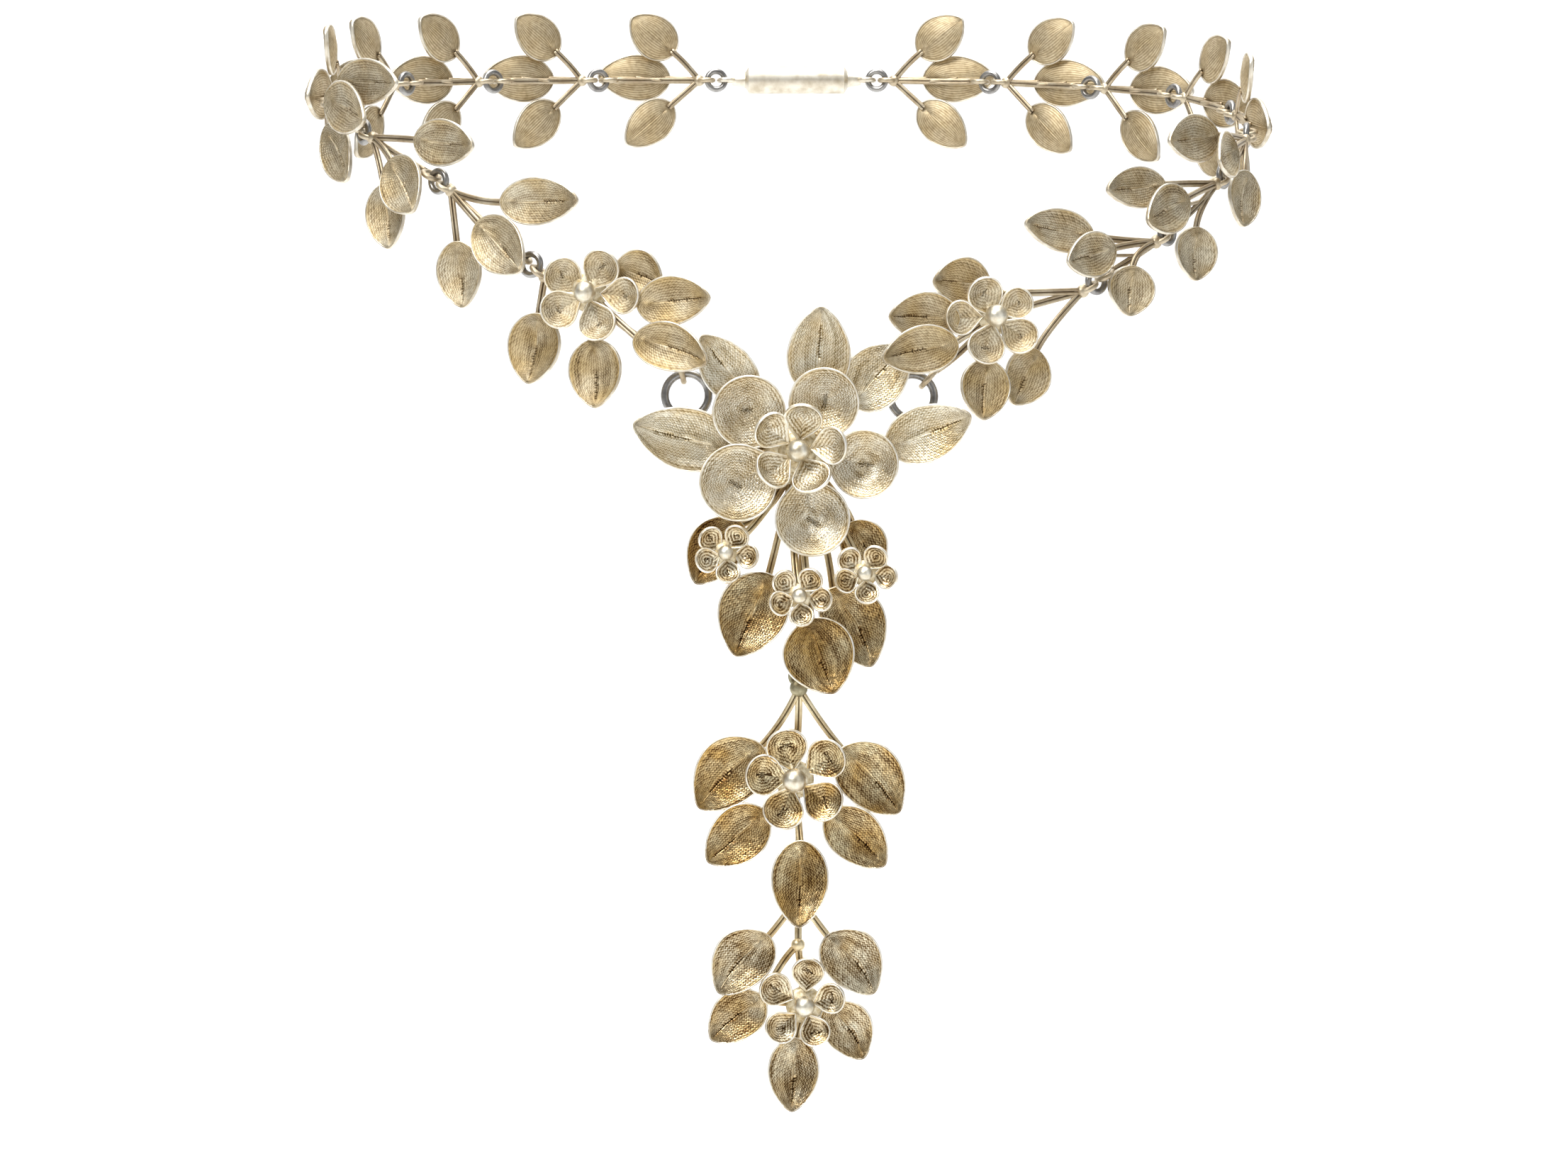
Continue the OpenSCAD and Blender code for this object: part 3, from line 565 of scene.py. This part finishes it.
def petal(b, p, n, radius, way, dish, kind, point, wide=1.0, eye=0.24, tarnish=0.0):
    """A dished petal in the form of a drop, whose point lies towards the granule. Point is how
    far out that point lies and wide how wide the petal is, as parts of its radius."""
    s = unit(way - (way @ n) * n)
    m = np.cross(n, s)
    n_around = 8 * max(4, round(2 * math.pi * radius / PETAL_PITCH / 8))
    a = np.linspace(-math.pi, math.pi, n_around + 1)
    touch = math.acos(1 / point)
    r = radius / np.cos(np.maximum(0, touch - (math.pi - np.abs(a))))
    edge = np.outer(r * np.cos(a), s) + np.outer(wide * r * np.sin(a), m)
    middle = 0.06 * radius * s

    def place(f):
        f = np.broadcast_to(f, a.shape)[:, None]
        q = p + edge * (1 - f) + middle * f - dish * np.sin(f * math.pi / 2) * n
        nrm = n - unit_rows(edge) * dish / radius * (1 - f * f)
        return q, nrm / np.linalg.norm(nrm, axis=1, keepdims=True)

    rows = max(4, round(radius / PETAL_ROW))
    filling(b, place, rows, n_around + 1, kind, shrink=1.0, spiral=True,
            eye=eye * (0.7 + 0.3 * b.random.random()), tarnish=tarnish,
            crimp=min(1, (radius / 3.5) ** 2))
    backing(b, place, kind, rows, closed=False)
    rim(b, (p + edge)[:-1], np.tile(n, (n_around, 1)), "rim")


def flower(b, c, rows, kind, bead_r, bead_lift, dish, disc_r, face=OUT, **look):
    """Petals round a granule, with solder between them."""
    side = unit(np.cross(face, UP))
    up = np.cross(side, face)
    for x, z, r, lift, tilt in rows:
        way = unit(-x * side + z * up)
        p = c - x * side + z * up + lift * face
        n = math.cos(math.radians(tilt)) * face - math.sin(math.radians(tilt)) * way
        petal(b, p, n, r, way, dish, kind, **look)
    ball(b, c + bead_lift * face, bead_r, "bead", face)
    top = bead_lift - bead_r + 0.5
    wide = 0.95 * disc_r
    lathe(b, c, face, [(0, -1.3), (0.8 * wide, -1.3), (wide, -0.9), (wide, -0.5), (0.8 * wide, -0.2),
                       (0.55 * wide, top - 0.5), (0.3 * wide, top), (0, top + 0.1)], "solder")


# ---- Tables, in the columns of the part's source --------------------------------------------

# Petals: x and z from the middle of the flower, radius, lift, tilt in degrees.
# Leaves: x and z of the base, x and z of the tip, width, depth of the base and of the tip,
# roll in degrees, bend.
# Mini flowers and pivots: x, z, depth.
MAIN_PETALS = [(-6.9, 5.4, 5.2, 1.2, 8), (3.6, 6.7, 5.0, 1.6, 8), (9.3, -1.9, 4.9, 1.3, 10),
               (2.0, -9.6, 5.3, 2.6, 6), (-8.4, -4.5, 5.5, 2.0, 8)]
INNER_PETALS = [(0.7, 4.3, 2.4, 1.9, 30), (-3.7, 2.8, 2.4, 2.1, 30), (4.6, 0.7, 2.4, 2.1, 30),
                (1.8, -3.6, 2.5, 2.3, 36), (-3.4, -2.6, 2.5, 2.2, 36)]
MAIN_LEAVES = [(2.6, 7.6, 3.3, 20.4, 9.1, 0.6, -0.4, 0, 0),
               (-6.2, 7.2, -13.7, 16.3, 7.4, 0.4, 0.2, 0, 0.3),
               (7.8, 6.2, 15.4, 14.6, 8.8, 0.6, 0.8, 0, 0.5),
               (-9.0, 0.2, -23.4, 3.7, 9.0, 0.6, -1.2, 0, 0.2),
               (12.3, 0.4, 24.5, 5.0, 8.2, 0.2, -1.2, 0, -0.2)]
LOWER_LEAVES = [(-8.2, -9.8, -14.6, -18.9, 7.9, 1.2, 0.4, 0, -0.6),
                (-3.9, -17.3, -8.9, -29.1, 10.0, -0.2, -1.4, 0, -0.2),
                (7.3, -10.0, 11.5, -17.2, 6.8, 1.2, 0.6, 0, 0.1),
                (4.4, -19.4, 10.5, -30.6, 9.0, 0.2, -0.6, 0, 0.9),
                (1.6, -23.7, 5.1, -34.4, 10.3, -2.0, -3.4, 0, -0.3)]
# How strongly each leaf is tarnished, and where the stems of the lower leaves pass
LOWER_TARNISH = (0.5, 0.1, 0.3, 0.1, 0.4)
DROP_TARNISH = (0.1, 0.0, 0.5, 0.2, 0.3)
LOWER_WAYS = [(-3.7, -9.3), (-2.8, -12.4), (7.4, -8.4), (4.4, -13.6), (0.6, -13.0)]
MINI_FLOWERS = [(-10.2, -14.4, -2.2), (0.2, -20.5, -4.2), (9.4, -17.3, -2.8)]
MINI_PETALS = [(-2.1, 1.9, 1.65, 0.3, 20), (1.5, 2.2, 1.65, 0.5, 20), (3.0, -0.5, 1.6, 0.3, 20),
               (0.3, -2.7, 1.6, 0.6, 20), (-2.6, -1.0, 1.65, 0.5, 20)]
PIVOTS = [(0.1, -30.1, 1.9), (0.1, -59.5, 2.8)]
DROP_1_PETALS = [(-1.1, 4.6, 2.7, 0.7, 14), (4.5, 3.0, 2.7, 0.5, 14), (4.1, -3.0, 2.7, 0.8, 14),
                 (-1.6, -4.3, 2.7, 1.0, 14), (-4.3, 0.7, 2.7, 0.7, 14)]
DROP_1_LEAVES = [(-5.0, -41.6, -14.2, -50.6, 9.6, 1.6, 1.8, 0, -0.6),
                 (6.0, -42.0, 14.4, -51.3, 9.2, 1.6, 1.8, 0, 0.5),
                 (-4.6, -50.8, -12.9, -58.3, 8.1, 1.6, 1.4, 0, 0.1),
                 (4.1, -51.1, 12.4, -58.8, 7.7, 1.6, 1.4, 0, 0.3),
                 (0.4, -55.0, 0.1, -67.6, 8.2, -0.6, -2.6, 0, 0)]
DROP_2_PETALS = [(0.5, 4.7, 2.2, 0.7, 14), (3.7, 1.0, 2.1, 0.6, 14), (1.5, -3.7, 2.1, 0.9, 14),
                 (-3.3, -3.1, 2.2, 0.8, 14), (-4.1, 2.3, 2.3, 0.6, 14)]
DROP_2_LEAVES = [(-4.0, -68.6, -11.4, -76.9, 8.4, 2.6, 2.4, 0, -0.7),
                 (4.0, -68.5, 10.9, -76.9, 8.4, 2.6, 2.4, 0, 0.7),
                 (-4.8, -77.3, -12.5, -83.5, 7.3, 2.8, 2.6, 0, -0.3),
                 (4.1, -78.4, 9.4, -86.2, 7.3, 2.8, 2.6, 0, 0.6),
                 (-0.4, -83.0, -0.9, -93.8, 7.4, 2.8, 1.8, 0, 0)]
# On the arms the two depths are heights over the neck, and these leaves have no bend
NEAR_SPRIGS = {
    LEFT: [(-41.6, 34.9, -30.5, 35.2, 6.9, 1.0, 1.2, 0), (-44.2, 32.1, -37.0, 25.1, 7.8, 2.0, 4.2, 0),
           (-47.6, 29.5, -46.4, 20.0, 7.2, 1.2, 1.4, 0), (-53.2, 43.7, -44.7, 42.7, 6.9, 1.4, 1.8, 0),
           (-56.0, 40.8, -51.2, 33.5, 7.8, 2.2, 4.4, 0), (-57.8, 37.4, -56.6, 28.3, 7.0, 1.2, 1.4, 0),
           (-64.2, 52.0, -55.7, 51.6, 7.0, 0.8, 1.2, 0), (-65.2, 49.8, -58.2, 46.2, 7.6, 1.6, 3.8, 0),
           (-65.6, 45.6, -62.4, 38.0, 7.0, 1.2, 1.4, 0)],
    RIGHT: [(41.2, 30.1, 31.4, 32.0, 6.4, 1.0, 1.2, 10), (43.6, 28.5, 35.9, 26.3, 6.6, 2.0, 4.2, 0),
            (45.8, 26.0, 45.0, 18.8, 7.6, 2.4, 2.6, 0), (51.3, 37.4, 42.8, 36.6, 6.2, 0.8, 1.2, 10),
            (53.4, 35.5, 46.4, 32.0, 7.2, 2.2, 4.4, 0), (55.4, 31.5, 54.9, 23.8, 7.6, 1.2, 1.4, 0),
            (58.6, 44.3, 51.4, 43.4, 7.2, 0.8, 1.2, 5), (60.4, 42.6, 56.4, 40.4, 7.0, 1.6, 3.8, 0),
            (62.2, 39.4, 61.4, 31.4, 7.0, 1.2, 1.4, 0)],
}
FRONT_TURN = 0.7
# Base and then tip along, across and off the line from joint to joint, and the width
FAR_LEAVES = [(7.4, 3.8, 1.2, 15.6, 10.6, 1.4, 7.0), (7.4, -0.3, 1.8, 19.6, -1.0, 3.8, 7.8),
              (6.8, -4.4, 1.2, 14.2, -10.6, 1.4, 7.4)]
# Flower sprigs: place of the flower, and how far the upper eyelet leans, in degrees
FLOWER_CORE = {LEFT: (-29.0, 22.2), RIGHT: (26.9, 18.9)}
LEAN = {LEFT: 12, RIGHT: 42}
FLOWER_PETALS = {
    LEFT: [(2.1, 3.4, 2.6, 0.7, 14), (5.3, -0.5, 2.5, 0.9, 14), (1.6, -4.3, 2.6, 1.1, 14),
           (-3.9, -2.4, 2.65, 0.9, 14), (-3.4, 2.3, 2.6, 0.6, 18)],
    RIGHT: [(-1.4, 3.0, 2.5, 0.7, 14), (3.3, 1.8, 2.2, 0.6, 14), (3.6, -2.8, 2.5, 0.9, 14),
            (-1.3, -4.3, 2.6, 1.1, 14), (-4.9, -0.3, 2.4, 0.9, 14)],
}
FLOWER_LEAVES = {
    LEFT: [(-25.8, 25.9, -19.0, 23.2, 7.2, 0.6, 0.4, 0, 0.2),
           (-22.4, 20.3, -11.9, 21.5, 7.2, 1.6, 2.6, 0, 0.2),
           (-22.5, 15.7, -12.0, 12.3, 6.9, 3.0, 5.2, 0, 0.5),
           (-28.2, 15.8, -27.8, 5.9, 8.1, 1.6, 2.4, 0, 0),
           (-36.0, 19.4, -37.3, 9.3, 8.6, 1.4, 1.8, 0, 0)],
    RIGHT: [(26.9, 22.9, 18.6, 23.8, 7.2, 1.0, 1.4, 0, -0.4),
            (22.4, 18.4, 12.3, 18.8, 7.2, 1.6, 2.6, 0, -0.2),
            (21.8, 15.0, 11.1, 12.8, 6.9, 3.0, 5.2, 0, -0.2),
            (26.2, 12.9, 25.3, 4.2, 7.6, 1.6, 2.4, 0, 0),
            (33.1, 14.3, 29.6, 6.4, 7.4, 1.4, 1.8, 0, 0.4)],
}


# ---- The nodes ------------------------------------------------------------------------------


def ends(q):
    return seen(q[0], q[1], q[5]), seen(q[2], q[3], q[6])


def front_leaf(b, q, kind, **look):
    base, tip = ends(q)
    leaf(b, base, tip, q[4], OUT, kind, "rim", q[7], q[8], **look)


def drop_eyelet(b, p, kind="stem"):
    ring_wire(b, p, OUT, SIDE, DROP_EYELET_R, DROP_EYELET_WIRE, kind)


def pivot(i):
    return seen(*PIVOTS[i])


def centrepiece():
    b = Piece("centrepiece", "necklace", "silver", seed=11)
    core = seen(0, 0, 0)
    flower(b, core, MAIN_PETALS, "petal", bead_r=0.8, bead_lift=2.2, dish=1.5, disc_r=5.2,
           point=1.3)
    flower(b, core - [0, 2.4, 0], INNER_PETALS, "petal", bead_r=1.6, bead_lift=2.2, dish=0.9,
           disc_r=2.8, point=1.55, wide=1.14, eye=0.0, tarnish=0.1)
    for q in MAIN_LEAVES:
        front_leaf(b, q, "leaf")
        base, tip = ends(q)
        root = leaf_root(base, tip, OUT)
        stem(b, core + 0.3 * (root - core), core + 0.5 * (root - core) + [0, 0.5, 0], root)
    for q, w, tarnish in zip(LOWER_LEAVES, LOWER_WAYS, LOWER_TARNISH):
        front_leaf(b, q, "gold", tarnish=tarnish)
        base, tip = ends(q)
        stem(b, seen(0.35 * w[0], 0.35 * w[1], 0.9), seen(w[0], w[1], 0.9), leaf_root(base, tip, OUT))
    for m in MINI_FLOWERS:
        flower(b, seen(*m), MINI_PETALS, "drop", bead_r=1.1, bead_lift=1.0, dish=0.5, disc_r=1.95,
               point=1.35, wide=1.1, eye=0.34)
    stem(b, seen(-1.5, -3, 0.6), seen(-4, -9, 0.6), seen(-10.2, -14.4, -1.2))
    stem(b, seen(-0.6, -4, 0.6), seen(-1, -15, 0), seen(0.2, -20.5, -3.2))
    stem(b, seen(2, -3, 0.6), seen(7, -12, 0), seen(9.4, -17.3, -1.8))
    eye = pivot(0) + [0, 0, DROP_OFFSET]
    stem(b, seen(0.8, -4, 0.8), seen(0.6, -18, 0.6), eye + [0, 0, DROP_EYELET_R])
    drop_eyelet(b, eye)
    for side in (LEFT, RIGHT):
        big_eye = joint(side, 0) - EYELET_OFFSET * UP
        ring_wire(b, big_eye, SIDE, OUT, EYELET_R, EYELET_WIRE, "stem")
        stem(b, seen(side * 3, 0.6, 0.8), big_eye + [-side * 3, 0, -4], big_eye - EYELET_R * UP)
    b.finish()


def drop_hub(b, i):
    eye = pivot(i) - [0, 0, DROP_OFFSET]
    hub = eye - [0, 0, DROP_EYELET_R + 0.5]
    drop_eyelet(b, eye, "hub")
    ball(b, hub, DROP_HUB_R, "hub", OUT, DROP_HUB_FLAT)
    return hub


def drop_leaves(b, rows, kind, hub, core):
    """Two leaves on the hub and three on the flower, with their stems."""
    for i, (q, tarnish) in enumerate(zip(rows, DROP_TARNISH)):
        front_leaf(b, q, kind, tarnish=tarnish)
        base, tip = ends(q)
        root = leaf_root(base, tip, OUT)
        if i < 2:
            leaf_stem(b, hub, base, tip, OUT)
        else:
            stem(b, core + [0, 1, 0], core + 0.4 * (root - core) + [0, 1.2, 0], root)


def drop_1():
    b = Piece("drop_1", "drop_1", "tarnished_silver", seed=21)
    hub = drop_hub(b, 0)
    core = seen(-0.5, -46.5, 1.4)
    flower(b, core, DROP_1_PETALS, "gold", bead_r=1.75, bead_lift=1.6, dish=0.8, disc_r=2.9,
           point=1.45, wide=1.1, eye=0.4)
    drop_leaves(b, DROP_1_LEAVES, "gold", hub, core)
    stem(b, hub, seen(0.2, -38, 3.2), core + [0, 1.2, 0])
    eye = pivot(1) + [0, 0, DROP_OFFSET]
    stem(b, core + [0, 1.2, 0], seen(0.3, -54, 3.2), eye + [0, 0, DROP_EYELET_R])
    drop_eyelet(b, eye)
    b.finish()


def drop_2():
    b = Piece("drop_2", "drop_2", "tarnished_silver", seed=31)
    hub = drop_hub(b, 1)
    second = seen(0, -69.9, 2.4)
    core = seen(0.9, -78.5, 2.2)
    flower(b, core, DROP_2_PETALS, "drop", bead_r=1.5, bead_lift=1.4, dish=0.7, disc_r=2.8,
           point=1.4, wide=1.06, eye=0.4)
    drop_leaves(b, DROP_2_LEAVES, "drop", hub, core)
    stem(b, hub, (hub + second) / 2, second)
    ball(b, second, 1.0, "stem", OUT, 0.8)
    stem(b, second, seen(-2, -71.5, 2.6), seen(-4.2, -76.0, 2.8))
    stem(b, second, seen(0.3, -73, 3.4), core + [0, 1.2, 0])
    b.finish()


def leaf_stem(b, start, base, tip, face, kind="stem"):
    """A stem that runs into a leaf along the leaf's own line."""
    root = leaf_root(base, tip, face)
    pull = min(0.5 * np.linalg.norm(root - start), 0.4 * np.linalg.norm(tip - base))
    stem(b, start, root - pull * unit(tip - base), root, kind, face=face)


def end_loop(b, side, i, way):
    """The loop that holds the ring at joint i, on the side of it that way tells."""
    j = joint(side, i)
    n = neck_normal(j)
    t = chain_way(side, i)
    ring_wire(b, j + way * LOOP_OFFSET * t, np.cross(n, t), n, LOOP_R, LOOP_WIRE, "stem_old")


def sprig_leaves(side, i):
    """Base, tip, width, roll and facing of the three leaves of a sprig."""
    if i <= 3:
        rows = [(on_neck(q[0], q[1], q[5]), on_neck(q[2], q[3], q[6]), q[4], q[7])
                for q in NEAR_SPRIGS[side][3 * (i - 1):3 * i]]
        return [(*q, unit(neck_normal((q[0] + q[1]) / 2) + FRONT_TURN * OUT)) for q in rows]
    o, e = joint(side, i + 1), joint(side, i)
    t = unit(e - o)
    n0 = neck_normal((o + e) / 2)
    n = unit(n0 - (n0 @ t) * t)
    w = side * np.cross(n, t)
    return [(o + q[0] * t + q[1] * w + q[2] * n, o + q[3] * t + q[4] * w + q[5] * n, q[6], 0, n)
            for q in FAR_LEAVES]


def leaf_sprig(side, i):
    b = Piece(f"{SIDE_NAMES[side]}_sprig_{i}", "necklace", "silver", seed=100 + 10 * i + side)
    end_loop(b, side, i + 1, 1)
    end_loop(b, side, i, -1)
    hub = hub_of(side, i + 1)
    nrm = neck_normal(hub)
    ball(b, hub, HUB_R, "stem_old", nrm, HUB_FLAT)
    tail = tail_end(side, i)
    stem(b, hub, (hub + tail) / 2 + 0.6 * nrm, tail, "stem_old", face=nrm)
    for base, tip, width, roll, face in sprig_leaves(side, i):
        leaf(b, base, tip, width, face, "arm", "rim_old", roll, 0, tarnish=0.1, crimp=0.6)
        leaf_stem(b, hub, base, tip, face, "stem_old")
    base, tip = sprig_leaves(side, i)[1][:2]
    top = base + 0.5 * (tip - base) - 1.2 * neck_normal(base)
    stem(b, hub + 0.45 * (tail - hub), (hub + 0.5 * (tail - hub) + top) / 2, top, "stem_old",
         BRACE_R, face=unit(np.cross(nrm, tail - hub)))
    b.finish()


def flower_sprig(side):
    b = Piece(f"{SIDE_NAMES[side]}_flower_sprig", "necklace", "silver", seed=41 + side)
    core = on_neck(*FLOWER_CORE[side], 1.9)
    face = unit(neck_normal(core) + OUT)
    hub = hub_of(side, 1)
    flower(b, core, FLOWER_PETALS[side], "arm", bead_r=1.6, bead_lift=1.5, dish=0.8, disc_r=2.9,
           face=face, point=1.5, wide=1.06, tarnish=0.15)
    root = core - 1.2 * face
    end_loop(b, side, 1, 1)
    ball(b, hub, HUB_R, "stem_old", face, HUB_FLAT)
    for k, q in enumerate(FLOWER_LEAVES[side]):
        base, tip = on_neck(q[0], q[1], q[5]), on_neck(q[2], q[3], q[6])
        leaf(b, base, tip, q[4], neck_normal((base + tip) / 2), "arm", "rim_old", q[7], q[8],
             tarnish=0.6, crimp=0.6)
        if k < 4:
            stem(b, root, root + 0.4 * (base - core), leaf_root(base, tip, face), "stem_old", face=face)
        else:
            leaf_stem(b, hub, base, tip, face, "stem_old")
    stem(b, hub, (hub + root) / 2, root, "stem_old", face=face)
    high = root + [side * 1.5, 0, 3.2]
    stem(b, hub, (hub + high) / 2, high, "stem_old", face=face)
    lean = math.radians(LEAN[side])
    from_ring = np.array([side * math.sin(lean), 0, math.cos(lean)])
    eye = joint(side, 0) + EYELET_OFFSET * from_ring
    ring_wire(b, eye, np.cross(from_ring, OUT), OUT, EYELET_R, EYELET_WIRE, "stem_old")
    stem(b, root, core + [-side * 4, 1.5, -5], eye + EYELET_R * from_ring, "stem_old")
    b.finish()


def links():
    """Jump rings and the clasp keep their solids, in better metal."""
    for name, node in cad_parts.items():
        if "_ring_" in name or name == "clasp":
            for slot in node.material_slots:
                slot.material = MATERIALS["rim_old" if name == "clasp" else "ring"]


def set_up_stage():
    """A pale sweep that rises behind the necklace and lets a look from behind through it,
    and soft lights."""
    near, low, back, top = -2.5, -0.30, 0.55, 2.2
    half_width, bend, bend_steps = 3.0, 0.35, 12
    row = [(near, low)] + [
        (back - bend + bend * math.sin(a), low + bend - bend * math.cos(a))
        for a in np.linspace(0, math.pi / 2, bend_steps)
    ] + [(back, top)]
    points = [(x, y, z) for y, z in row for x in (-half_width, half_width)]
    faces = [(2 * i, 2 * i + 1, 2 * i + 3, 2 * i + 2) for i in range(len(row) - 1)]
    mesh = bpy.data.meshes.new("sweep")
    mesh.from_pydata(points, [], faces)
    mesh.polygons.foreach_set("use_smooth", [True] * len(faces))
    m, tree, bsdf = shader("paper", 0.9, 0.0)
    tree.links.new(
        ramp(tree, noise(tree, 3), [(0.3, (0.86, 0.86, 0.86)), (0.7, (0.9, 0.9, 0.9))]),
        bsdf.inputs["Base Color"],
    )
    side = tree.nodes.new("ShaderNodeNewGeometry")
    clear = tree.nodes.new("ShaderNodeBsdfTransparent")
    either = tree.nodes.new("ShaderNodeMixShader")
    tree.links.new(side.outputs["Backfacing"], either.inputs[0])
    tree.links.new(bsdf.outputs["BSDF"], either.inputs[1])
    tree.links.new(clear.outputs["BSDF"], either.inputs[2])
    tree.links.new(either.outputs["Shader"], tree.nodes["Material Output"].inputs["Surface"])
    mesh.materials.append(m)
    sweep = bpy.data.objects.new("sweep", mesh)
    bpy.context.scene.collection.objects.link(sweep)
    # Name, place, size and power
    lights = [("key", (-0.55, -0.9, 0.75), 0.5, 9), ("fill", (0.8, -0.8, 0.2), 0.9, 1.5),
              ("top", (0.0, 0.1, 0.9), 0.8, 4), ("wall", (0.0, -0.3, 1.6), 1.2, 26)]
    for name, place, size, power in lights:
        data = bpy.data.lights.new(name, "AREA")
        data.size = size
        data.energy = power
        lamp = bpy.data.objects.new(name, data)
        lamp.location = place
        target = np.array([0, 0.5, 0.1]) if name == "wall" else np.array([0, -0.04, -0.05])
        way = target - np.array(place)
        lamp.rotation_euler = Matrix(look_rows(way)).to_euler()
        bpy.context.scene.collection.objects.link(lamp)
    world = bpy.data.worlds.new("studio")
    world.use_nodes = True
    world.node_tree.nodes["Background"].inputs["Color"].default_value = (0.95, 0.97, 1.0, 1)
    world.node_tree.nodes["Background"].inputs["Strength"].default_value = 0.28
    bpy.context.scene.world = world


def look_rows(way):
    """Rotation whose -Z axis points along way, as rows."""
    z = -unit(way)
    x = unit(np.cross(UP, z)) if abs(z[2]) < 0.99 else SIDE
    y = np.cross(z, x)
    return np.stack([x, y, z], axis=1).tolist()


def set_camera():
    """The photo's view: a long lens that looks a little down and to one side."""
    tilt, turned = 1.85, 0.19
    data = bpy.data.cameras.new("camera")
    data.lens = 97.65
    data.sensor_width = 36
    data.clip_start = 0.01
    camera = bpy.data.objects.new("camera", data)
    camera.location = (0, -0.658, -0.052)
    camera.rotation_euler = (math.radians(90 - tilt), 0, math.radians(turned))
    bpy.context.scene.collection.objects.link(camera)
    bpy.context.scene.camera = camera


centrepiece()
drop_1()
drop_2()
for way in (LEFT, RIGHT):
    flower_sprig(way)
    for number in range(1, SPRIGS + 1):
        leaf_sprig(way, number)
links()
set_up_stage()
set_camera()
bpy.context.scene.view_settings.view_transform = "Standard"
